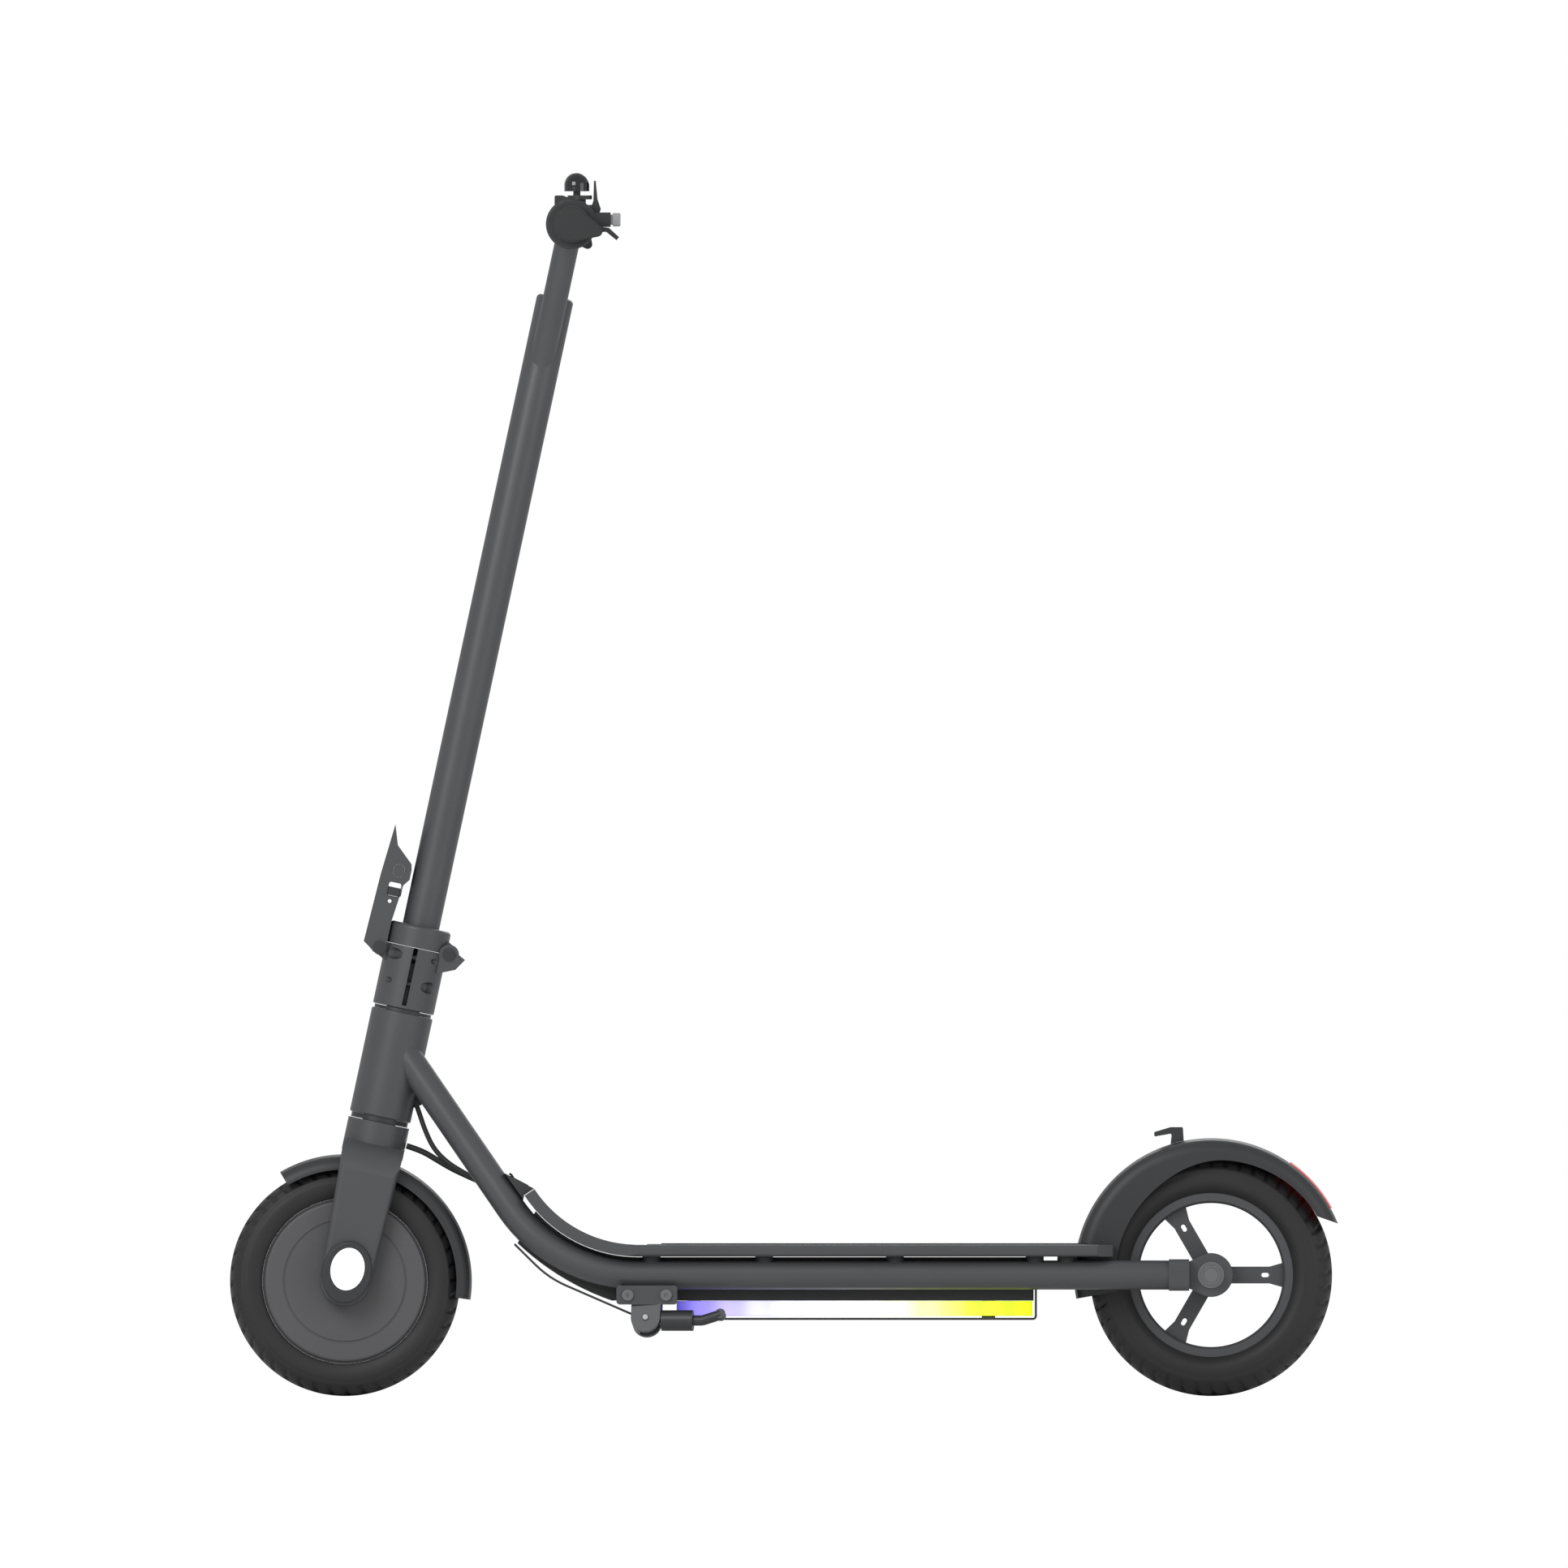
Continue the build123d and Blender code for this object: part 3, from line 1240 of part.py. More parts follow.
with BuildPart() as front_tyre:
    with BuildSketch(fender_plane(front_axle, 0)):
        with BuildLine():
            tread = ThreePointArc(
                (-front_tyre_half_width + 3, front_tyre_radius - 9),
                (0, front_tyre_radius),
                (front_tyre_half_width - 3, front_tyre_radius - 9),
            )
            right_wall = ThreePointArc(
                tread @ 1,
                (front_tyre_half_width, front_tyre_radius - 17),
                (motor_half_width - 1, motor_rim_radius + tyre_bead_gap),
            )
            left_wall = ThreePointArc(
                tread @ 0,
                (-front_tyre_half_width, front_tyre_radius - 17),
                (-motor_half_width + 1, motor_rim_radius + tyre_bead_gap),
            )
            Line(right_wall @ 1, left_wall @ 1)
        make_face()
    revolve(axis=Axis(front_axle, (0, -1, 0)))

# ---------------------------------------------------------------- folding base
slot_half_width = 2.0
slot_bottom = 250.0
bolt_radius = 2.6
bolt_head_radius = 4.8
bolt_pocket_radius = 5.2
bolt_across = -20.3
bolt_heights = (293.6, 269.6)
bolt_head_setback = 11.0
bolt_head_length = 5.0
knuckle_half_width = 10.0
ear_inner = knuckle_half_width + 0.5
ear_outer = 17.4
hinge_at = (hinge_setback, hinge_height)
latch_at = (latch_setback, latch_height)
latch_ear_inner = 6.5
latch_ear_outer = 12.0
latch_ear_radius = 6.8
lever_inner = latch_ear_outer + 0.4
lever_wall = 3.0
lever_outer = lever_inner + lever_wall


def mirrored_pair(sketch_face, inner, outer):
    """Two plates of one side-view face, between two distances from the middle plane of the steering frame."""
    plates = []
    for side in (-1, 1):
        with BuildPart(mode=Mode.PRIVATE) as plate:
            with BuildSketch(steering_side.offset(side * inner)):
                add(sketch_face)
            extrude(amount=side * (outer - inner))
        plates.append(plate.part)
    return plates


with BuildSketch() as hinge_ear:
    with Locations(hinge_at):
        Circle(hinge_ear_radius)
    with BuildLine():
        Polyline((22, 300), (22, 284), (29, 286.5), (38, 290.5), (44.6, 300.8), (38.4, 304.0), close=True)
    make_face()
with BuildSketch() as latch_ear:
    with Locations(latch_at):
        Circle(latch_ear_radius)
    with BuildLine():
        Polyline((-22, 300.5), (-31.8, 302.8), (-31.8, 289.6), (-22, 284), close=True)
    make_face()

with BuildPart() as folding_base:
    with BuildSketch(steering.offset(base_bottom)):
        Circle(column_radius)
    extrude(amount=base_top - base_bottom)
    base_rims = folding_base.edges().filter_by(GeomType.CIRCLE)
    fillet(base_rims, radius=1.2)
    with BuildSketch(steering.offset(base_bottom)):
        Circle(steerer_radius + shaft_fit)
    extrude(amount=steerer_top - base_bottom + 2, mode=Mode.SUBTRACT)
    with BuildSketch(steering.offset(base_bottom)):
        Circle(steerer_radius - steerer_wall)
    extrude(amount=base_top, mode=Mode.SUBTRACT)
    add(mirrored_pair(hinge_ear.sketch, ear_inner, ear_outer))
    add(mirrored_pair(latch_ear.sketch, latch_ear_inner, latch_ear_outer))
    with BuildSketch(steering_side):
        with Locations(hinge_at):
            Circle(hinge_ear_radius + 0.6)
    extrude(amount=ear_inner, both=True, mode=Mode.SUBTRACT)
    with BuildSketch(steering_side):
        with Locations(hinge_at):
            Circle(hinge_pin_radius + shaft_fit)
        with Locations(latch_at):
            Circle(latch_pin_radius + shaft_fit)
    extrude(amount=column_radius, both=True, mode=Mode.SUBTRACT)
    # The clamp slot on the left side, with two bolts across it.
    with BuildSketch(steering.offset(slot_bottom)):
        with Locations((0, -column_radius / 2 - 2)):
            Rectangle(2 * slot_half_width, column_radius + 4)
    extrude(amount=base_top, mode=Mode.SUBTRACT)
    for bolt_height, head_side in zip(bolt_heights, (-1, 1)):
        with BuildSketch(steering_front):
            with Locations((bolt_across, bolt_height)):
                Circle(bolt_radius + weld_gap)
        extrude(amount=column_radius + 2, both=True, mode=Mode.SUBTRACT)
        with BuildSketch(steering_front.offset(head_side * bolt_head_setback)):
            with Locations((bolt_across, bolt_height)):
                Circle(bolt_pocket_radius)
        extrude(amount=head_side * column_radius, mode=Mode.SUBTRACT)

with BuildPart() as steering_bolts:
    for bolt_height, head_side in zip(bolt_heights, (-1, 1)):
        with BuildSketch(steering_front.offset(head_side * (bolt_head_setback + weld_gap))):
            with Locations((bolt_across, bolt_height)):
                Circle(bolt_head_radius)
        extrude(amount=head_side * bolt_head_length)
        with BuildSketch(steering_front.offset(head_side * (bolt_head_setback + weld_gap + bolt_head_length - 3))):
            with Locations((bolt_across, bolt_height)):
                RegularPolygon(2.4, 6)
        extrude(amount=head_side * 3, mode=Mode.SUBTRACT)
        with BuildSketch(steering_front.offset(head_side * (bolt_head_setback + weld_gap))):
            with Locations((bolt_across, bolt_height)):
                Circle(bolt_radius)
        extrude(amount=-head_side * (bolt_head_setback + 15))
    # The screw that holds the front fender up against the crown.
    with BuildSketch(steering.offset(front_fender_radius - front_fender_wall - 0.3 - screw_head_height)):
        Circle(screw_head_radius)
    extrude(amount=screw_head_height)
    with BuildSketch(steering.offset(front_fender_radius - front_fender_wall - 0.3)):
        Circle(screw_radius)
    extrude(amount=steerer_bottom - front_fender_radius + front_fender_wall)

pin_head_radius = 5.6
pin_head_length = 1.6
with BuildPart() as folding_pins:
    for centre, radius, reach in (
        (hinge_at, hinge_pin_radius, ear_outer),
        (latch_at, latch_pin_radius, lever_outer + 0.4),
    ):
        with BuildSketch(steering_side):
            with Locations(centre):
                Circle(radius)
        extrude(amount=reach + weld_gap, both=True)
        for side in (-1, 1):
            with BuildSketch(steering_side.offset(side * (reach + weld_gap))):
                with Locations(centre):
                    Circle(pin_head_radius)
            extrude(amount=side * pin_head_length)

# ---------------------------------------------------------------- stem block and stem
hinge_gap = 0.3
stem_socket = 306.0
knuckle_radius = 8.8
tongue_half_width = 4.5
tongue_reach = 6.5
with BuildPart() as stem_block:
    with BuildSketch(steering.offset(base_top + hinge_gap)):
        Circle(column_radius)
    extrude(amount=block_top - base_top - hinge_gap)
    fillet(stem_block.edges().group_by(Axis(front_axle, steering.z_dir))[-1], radius=3.5)
    fillet(stem_block.edges().group_by(Axis(front_axle, steering.z_dir))[0], radius=1.0)
    for side in (-1, 1):
        with BuildSketch(steering_side.offset(side * (knuckle_half_width - 0.1))):
            with Locations(hinge_at):
                Circle(hinge_ear_radius + 0.6)
        extrude(amount=side * (ear_outer - knuckle_half_width + 2.4), mode=Mode.SUBTRACT)
    with BuildSketch(steering_side):
        with Locations(hinge_at):
            Circle(knuckle_radius)
        with BuildLine():
            Polyline((18, base_top + hinge_gap), (18, 318), (26, 314), (36.2, 308.2), (29.6, 302.4), close=True)
        make_face()
    extrude(amount=knuckle_half_width, both=True)
    with BuildSketch(steering_side):
        with BuildLine():
            Polyline(
                (-column_radius + 4, 318),
                (-column_radius - tongue_reach, 313),
                (-column_radius - tongue_reach, 306),
                (-column_radius - 2, 308.5),
                (-column_radius + 4, 305),
                close=True,
            )
        make_face()
    extrude(amount=tongue_half_width, both=True)
    with BuildSketch(steering_side):
        with Locations(hinge_at):
            Circle(hinge_pin_radius + shaft_fit)
    extrude(amount=column_radius, both=True, mode=Mode.SUBTRACT)
    with BuildSketch(steering.offset(stem_socket)):
        Circle(stem_radius + shaft_fit)
    extrude(amount=block_top, mode=Mode.SUBTRACT)

with BuildPart() as stem_tube:
    with BuildSketch(steering.offset(stem_socket + weld_gap)):
        Circle(stem_radius)
    extrude(amount=stem_top - stem_socket - weld_gap)
    fillet(stem_tube.edges().group_by(Axis(front_axle, steering.z_dir))[-1], radius=4.0)
    with BuildSketch(steering.offset(stem_socket)):
        Circle(stem_radius - stem_wall)
    extrude(amount=stem_top - stem_socket - stem_wall * 2, mode=Mode.SUBTRACT)

# ---------------------------------------------------------------- latch lever and its safety slider
window_setback = -30.0
window_bottom = 343.0
window_length = 12.0
window_depth = 11.0
slider_travel = 4.0
rivet_at = (-29.4, 366.0)
lever_outline = [
    (-41.0, 406.0), (-44.6, 360.0), (-46.9, 298.5), (-41.0, 294.6), (-37.0, 291.3), (-31.8, 289.1), (-26.8, 291.6),
    (-26.5, 303.0), (-26.4, 321.0), (-22.8, 354.0), (-18.4, 360.0), (-18.4, 369.0), (-19.6, 374.0), (-35.0, 388.0),
]
with BuildPart() as latch_lever:
    with BuildSketch(steering_side):
        with BuildLine():
            Polyline(*lever_outline, close=True)
        make_face()
    extrude(amount=lever_outer, both=True)
    with BuildSketch(steering_side):
        with BuildLine():
            Polyline(
                (-41.8, 388.0), (-41.6, 360.0), (-43.9, 298.0), (-41.0, 280.0), (-10.0, 280.0), (-10.0, 388.0),
                close=True,
            )
        make_face()
    extrude(amount=lever_inner, both=True, mode=Mode.SUBTRACT)
    with BuildSketch(steering_side):
        with Locations(latch_at):
            Circle(latch_pin_radius + shaft_fit)
        with Locations((window_setback - 1.8, window_bottom - 5)):
            Circle(1.6)
        with Locations((window_setback, window_bottom + window_length / 2)):
            RectangleRounded(window_depth, window_length, 2)
        with Locations(rivet_at):
            SlotOverall(12 + 2 * weld_gap, 10 + 2 * weld_gap, rotation=90)
    extrude(amount=lever_outer, both=True, mode=Mode.SUBTRACT)
    # The rivet is a separate solid through both sides.
    with BuildSketch(steering_side):
        with Locations(rivet_at):
            SlotOverall(12, 10, rotation=90)
    extrude(amount=lever_outer + 0.8, both=True)

with BuildPart() as latch_safety:
    with BuildSketch(steering_side):
        with Locations((window_setback, window_bottom + (window_length - slider_travel) / 2)):
            RectangleRounded(window_depth + 3, window_length - slider_travel - 2 * seat_gap, 1.5)
    extrude(amount=lever_inner - running_gap, both=True)
    with BuildSketch(steering_side):
        with Locations((window_setback, window_bottom + (window_length - slider_travel) / 2)):
            RectangleRounded(window_depth - 2 * running_gap, window_length - slider_travel - 2 * seat_gap, 1.8)
    extrude(amount=lever_outer + 1.2, both=True)

# ---------------------------------------------------------------- handlebar
bar_centre = on_column(bar_height_on_axis, 0)
bar_side = Plane(origin=bar_centre, x_dir=(1, 0, 0), z_dir=(0, -1, 0))
strut_radius = 11.0
strut_foot = stem_top - 77.0
strut_half_spread = 52.0
grip_start = bar_half_length - grip_length
grip_end_wall = 2.4
wing_reach = 23.7
wing_radius = 5.0
wing_degrees = -15.6
wing_start = grip_start + 42.0

with BuildPart() as handlebar:
    with BuildSketch(bar_side):
        Circle(bar_radius)
        Circle(bar_radius - bar_wall, mode=Mode.SUBTRACT)
    extrude(amount=bar_half_length, both=True)

with BuildPart() as handlebar_struts:
    for side in (-1, 1):
        foot = on_column(strut_foot, 0)
        head = on_column(bar_height_on_axis, 0, side * strut_half_spread)
        with BuildSketch(Plane(origin=foot, z_dir=head - foot)):
            Circle(strut_radius)
        extrude(amount=(head - foot).length)
    with BuildSketch(steering.offset(strut_foot - 3 * strut_radius)):
        Circle(stem_radius + weld_gap)
    extrude(amount=stem_top - strut_foot + 3 * strut_radius + weld_gap, mode=Mode.SUBTRACT)
    with BuildSketch(bar_side):
        Circle(bar_radius + weld_gap)
    extrude(amount=bar_half_length, both=True, mode=Mode.SUBTRACT)

with BuildPart() as handlebar_grips:
    for side in (-1, 1):
        with BuildSketch(bar_side.offset(side * grip_start)):
            Circle(grip_radius)
        extrude(amount=side * (grip_length + grip_end_wall))
        with BuildSketch(bar_side.offset(side * wing_start)):
            Circle(grip_radius)
            with Locations(polar(wing_reach, wing_degrees)):
                Circle(wing_radius)
            make_hull()
        extrude(amount=side * (bar_half_length + grip_end_wall - wing_start))
        with BuildSketch(bar_side.offset(side * grip_start)):
            Circle(bar_radius + shaft_fit)
        extrude(amount=side * (grip_length + weld_gap), mode=Mode.SUBTRACT)
    end_edges = handlebar_grips.edges().filter_by(lambda e: abs(e.center().Y) > bar_half_length + grip_end_wall - 0.01)
    fillet(end_edges, radius=2.0)

# ---------------------------------------------------------------- thumb levers, bell, display and catch
housing_start = 82.0
housing_width = 13.0
housing_radius = 22.5
lever_collar_start = housing_start + housing_width + running_gap
lever_collar_width = 8.0
lever_collar_radius = 17.0
thumb_blade_length = 20.0
box_rear = 35.0
button_length = 9.2
button_travel = 1.5
button_inset = 4.0

with BuildPart() as lever_housings:
    for side in (-1, 1):
        with BuildSketch(bar_side.offset(side * housing_start)):
            Circle(housing_radius)
            with Locations(((box_rear + 12) / 2, 3.8)):
                Rectangle(box_rear - 12, 13)
            Circle(bar_radius + shaft_fit, mode=Mode.SUBTRACT)
        extrude(amount=side * housing_width)
    housing_rims = lever_housings.edges().filter_by(GeomType.CIRCLE).filter_by(
        lambda e: abs(e.radius - housing_radius) < shaft_fit
    )
    fillet(housing_rims, radius=2.0)
    with BuildSketch(Plane(origin=bar_centre + Vector(box_rear, 0, 3.8), x_dir=(0, 1, 0), z_dir=(1, 0, 0))):
        with Locations((-housing_start - housing_width / 2, 0)):
            Rectangle(10.0, 10.0)
    extrude(amount=-button_inset - button_travel - running_gap, mode=Mode.SUBTRACT)

button_height = 3.8


def button_plane(reach):
    """Plane across the button's travel, this far behind the left housing's box."""
    return facing_rear(*(bar_centre + Vector(box_rear + reach, 0, button_height)))


with BuildPart() as power_button:
    with BuildSketch(button_plane(button_length - 0.4)):
        with Locations((-housing_start - housing_width / 2, 0)):
            RectangleRounded(12.0, 12.0, 2)
    extrude(amount=-button_length + button_travel + 0.8)
    fillet(power_button.edges().group_by(Axis.X)[-1], radius=1.5)
    with BuildSketch(button_plane(button_travel)):
        with Locations((-housing_start - housing_width / 2, 0)):
            Rectangle(10.0 - 2 * running_gap, 10.0 - 2 * running_gap)
    extrude(amount=button_travel + 0.2)
    with BuildSketch(button_plane(button_travel)):
        with Locations((-housing_start - housing_width / 2, 0)):
            Rectangle(10.0 - 2 * running_gap, 10.0 - 2 * running_gap)
    extrude(amount=-button_inset - button_travel)


def thumb_lever(side):
    """Thumb lever on a collar round the bar, with a bent blade below the housing's box."""
    with BuildPart() as lever:
        with BuildSketch(bar_side.offset(side * lever_collar_start)):
            Circle(lever_collar_radius)
            with BuildLine():
                Polyline((8, -3), (26, -2.5), (33.5, -3.4), (42.5, -11.6), (40.2, -14.4), (31, -7.0), (8, -8), close=True)
            make_face()
            Circle(bar_radius + seat_gap, mode=Mode.SUBTRACT)
        extrude(amount=side * lever_collar_width)
        with BuildSketch(bar_side.offset(side * lever_collar_start)):
            with BuildLine():
                Polyline((29.5, -2.8), (33.5, -3.4), (42.5, -11.6), (40.2, -14.4), (31, -7.0), (29.0, -6.9), close=True)
            make_face()
        extrude(amount=side * thumb_blade_length)
    return lever


brake_lever = thumb_lever(1)
throttle_lever = thumb_lever(-1)

bell_across = 68.0
bell_half_width = 6.0
bell_clamp_radius = 15.0
bell_x = 5.0
bell_base_radius = 10.8
bell_base_z = 21.8
bell_base_thickness = 3.6
bell_dome_radius = 11.15
bell_dome_bottom = 29.0
bell_dome_top = 45.6
bell_wall = 1.2
bell_post_radius = 2.0
striker_pin = (21.0, 13.0)
striker_half_width = 4.0
striker_pin_radius = 1.6
bell_side = bar_side.offset(bell_across)
bell_plane = Plane(origin=bar_centre + Vector(bell_x, -bell_across, 0))

with BuildPart() as bell_base:
    with BuildSketch(bell_side):
        Circle(bell_clamp_radius)
        with Locations((7.0, 14.0)):
            Rectangle(12.0, 2 * (bell_base_z - 14.0))
        Circle(bar_radius + shaft_fit, mode=Mode.SUBTRACT)
    extrude(amount=bell_half_width, both=True)
    with BuildSketch(bell_plane.offset(bell_base_z)):
        with Locations((2.6, 0)):
            Circle(bell_base_radius)
    extrude(amount=bell_base_thickness)
    with BuildSketch(bell_plane.offset(bell_base_z + bell_base_thickness)):
        Circle(bell_post_radius + 1.2)
    extrude(amount=bell_dome_bottom - bell_base_z - bell_base_thickness)
    with BuildSketch(bell_plane.offset(bell_dome_bottom)):
        Circle(bell_post_radius)
    extrude(amount=bell_dome_top - bell_dome_bottom - bell_wall - weld_gap)
    # Two ears carry the striker's pin.
    for side in (-1, 1):
        with BuildSketch(bell_side.offset(side * (striker_half_width + 0.3))):
            with Locations(striker_pin):
                Circle(4.0)
            with BuildLine():
                Polyline((12, 17), (21, 17), (21, 9), (12, 8), close=True)
            make_face()
        extrude(amount=side * 1.7)
    with BuildSketch(bell_side):
        with Locations(striker_pin):
            Circle(5.6)
    extrude(amount=striker_half_width + 0.3, both=True, mode=Mode.SUBTRACT)
    with BuildSketch(bell_side):
        with Locations(striker_pin):
            Circle(striker_pin_radius)
    extrude(amount=striker_half_width + 0.3 + 1.7, both=True)

dome_shoulder = 4.5
dome_flat = 2.0


def dome_profile(inset):
    """Half section of the bell's dome, drawn in by an inset: x from its axis, y up from the bar's centre."""
    side_x = bell_dome_radius - inset
    shoulder = bell_dome_bottom + dome_shoulder
    rise = bell_dome_top - inset - shoulder
    with BuildSketch() as profile:
        with BuildLine():
            Line((0, bell_dome_top - inset), (0, bell_dome_bottom - inset))
            Line((0, bell_dome_bottom - inset), (side_x, bell_dome_bottom - inset))
            Line((side_x, bell_dome_bottom - inset), (side_x, shoulder))
            ThreePointArc((side_x, shoulder), (side_x * 0.78, shoulder + rise * 0.66), (dome_flat, bell_dome_top - inset))
            Line((dome_flat, bell_dome_top - inset), (0, bell_dome_top - inset))
        make_face()
    return profile.sketch


dome_plane = Plane(origin=bell_plane.origin, x_dir=(1, 0, 0), z_dir=(0, -1, 0))
with BuildPart() as bell_dome:
    with BuildSketch(dome_plane):
        add(dome_profile(0))
    revolve(axis=Axis(bell_plane.origin, (0, 0, 1)))
    with BuildSketch(dome_plane):
        add(dome_profile(bell_wall))
    revolve(axis=Axis(bell_plane.origin, (0, 0, 1)), mode=Mode.SUBTRACT)

with BuildPart() as bell_striker:
    with BuildSketch(bell_side):
        with Locations(striker_pin):
            Circle(5.0)
        with BuildLine():
            Polyline((17.0, 13), (19.6, 20.5), (20.2, 38.4), (21.8, 38.4), (23.4, 22), (26.4, 13), close=True)
        make_face()
        with Locations(striker_pin):
            Circle(striker_pin_radius + shaft_fit, mode=Mode.SUBTRACT)
    extrude(amount=striker_half_width, both=True)

pod_half_width = 24.0
with BuildPart() as display_pod:
    with BuildSketch(bar_side):
        with BuildLine():
            FilletPolyline(
                (-14.8, 3.0), (-14.8, 25.4), (-7.5, 25.4), (14.0, 17.0), (16.0, 3.0), radius=1.5
            )
            Line((16.0, 3.0), (-14.8, 3.0))
        make_face()
        Circle(bar_radius + shaft_fit, mode=Mode.SUBTRACT)
        with Locations((0, -bar_radius)):
            Rectangle(4 * bar_radius, 2 * bar_radius + 7, mode=Mode.SUBTRACT)
    extrude(amount=pod_half_width, both=True)

screen_start = Vector(-6.4, 24.97)
screen_end = Vector(12.6, 17.55)
screen_along = (screen_end - screen_start).normalized()
screen_plane = Plane(
    origin=bar_centre + Vector((screen_start.X + screen_end.X) / 2, 0, (screen_start.Y + screen_end.Y) / 2),
    x_dir=(screen_along.X, 0, screen_along.Y),
    z_dir=(-screen_along.Y, 0, screen_along.X),
)
screen_size = (15.0, 38.0)
screen_thickness = 1.4
with BuildPart() as display_lens:
    with BuildSketch(screen_plane.offset(-screen_thickness + 0.3)):
        RectangleRounded(*screen_size, 2)
    extrude(amount=screen_thickness)
with BuildPart() as display_pocket:
    with BuildSketch(screen_plane.offset(-screen_thickness + 0.3 - weld_gap)):
        RectangleRounded(screen_size[0] + 2 * seat_gap, screen_size[1] + 2 * seat_gap, 2)
    extrude(amount=3 * screen_thickness)
display_pod.part = display_pod.part - display_pocket.part

catch_inner = 12.6
catch_outer = 16.6
catch_radius = 14.6
catch_nose = (18.0, bar_height_on_axis - 14.5)
catch_size = (6.0, 5.0)
with BuildPart() as fold_catch:
    for side in (-1, 1):
        with BuildSketch(steering_side.offset(side * catch_inner)):
            with Locations((0, bar_height_on_axis)):
                Circle(catch_radius)
            with Locations(catch_nose):
                Circle(4.2)
            make_hull()
            with Locations((0, bar_height_on_axis)):
                Circle(bar_radius + shaft_fit, mode=Mode.SUBTRACT)
        extrude(amount=side * (catch_outer - catch_inner))
    with BuildSketch(steering_side):
        with Locations(catch_nose):
            Rectangle(*catch_size)
    extrude(amount=catch_inner, both=True)
    with BuildSketch(bar_side):
        with Locations((0, bar_radius * 2)):
            Rectangle(6 * bar_radius, 2 * (bar_radius * 2 - 2.6))
    extrude(amount=pod_half_width, both=True, mode=Mode.SUBTRACT)

# ---------------------------------------------------------------- charge cap
cap_hinge = (cap_radius + 0.9, 1.5)
with BuildPart() as charge_cap:
    with BuildSketch(charge_plane.offset(-cap_thickness + seat_gap)):
        Circle(cap_radius)
    extrude(amount=cap_thickness + seat_gap)
    with BuildSketch(Plane(origin=charge_plane.origin, x_dir=charge_plane.x_dir, z_dir=(0, 1, 0))):
        with BuildLine():
            Polyline((cap_radius - 4, 0), (cap_radius - 1, 0.3), (cap_radius + 0.4, 0.5), (cap_radius + 0.9, 2.5),
                     (cap_radius - 1, 2.3), (cap_radius - 4, 0.35), close=True)
        make_face()
        with Locations(cap_hinge):
            Circle(1.1)
    extrude(amount=3.0, both=True)

# ---------------------------------------------------------------- cables
cable_crown_gap = 0.9

# The points of each route, from the steering end to the deck's front cover.
control_cable_route = [
    cable_port - cable_port_direction * 3.0,
    cable_port + cable_port_direction * 9.0,
    Vector(-318.6, -1.5, 236.0),
    Vector(-310.6, -3.0, 219.0),
    Vector(-298.0, -5.0, 206.6),
    Vector(-284.0, -6.4, 198.2),
    cable_entry_point(-16.0, -cable_entry_offset),
    cable_entry_point(cable_entry_depth, -cable_entry_offset),
]
motor_cable_route = [
    on_column(128.8, column_radius + cable_crown_gap, 0.3),
    on_column(127.6, column_radius + 14.0, 1.6),
    Vector(-309.5, 3.6, 210.6),
    Vector(-297.0, 5.4, 203.0),
    Vector(-283.0, 6.6, 196.2),
    cable_entry_point(-16.0, cable_entry_offset),
    cable_entry_point(cable_entry_depth, cable_entry_offset),
]


def bend_radii(points):
    """Largest arc that each corner of a cable's route allows."""
    radii = []
    for before, corner, after in zip(points, points[1:], points[2:]):
        first_run = corner - before
        second_run = after - corner
        turn = radians(first_run.get_angle(second_run))
        radii.append(0.45 * min(first_run.length, second_run.length) / (sin(turn / 2) / cos(turn / 2)))
    return radii


def cable(points, radius):
    """Cable of a round section along straight runs joined by tangent arcs."""
    with BuildPart() as tube:
        with BuildLine() as path:
            FilletPolyline(*points, radius=bend_radii(points))
        with BuildSketch(Plane(origin=path.line @ 0, z_dir=path.line % 0)):
            Circle(radius)
        sweep()
        run_length = sum(edge.length for edge in path.edges())
    print("cable length", round(run_length, 1), "bends", [round(value) for value in bend_radii(points)])
    return tube


control_cable = cable(control_cable_route, control_cable_radius)
motor_cable = cable(motor_cable_route, motor_cable_radius)

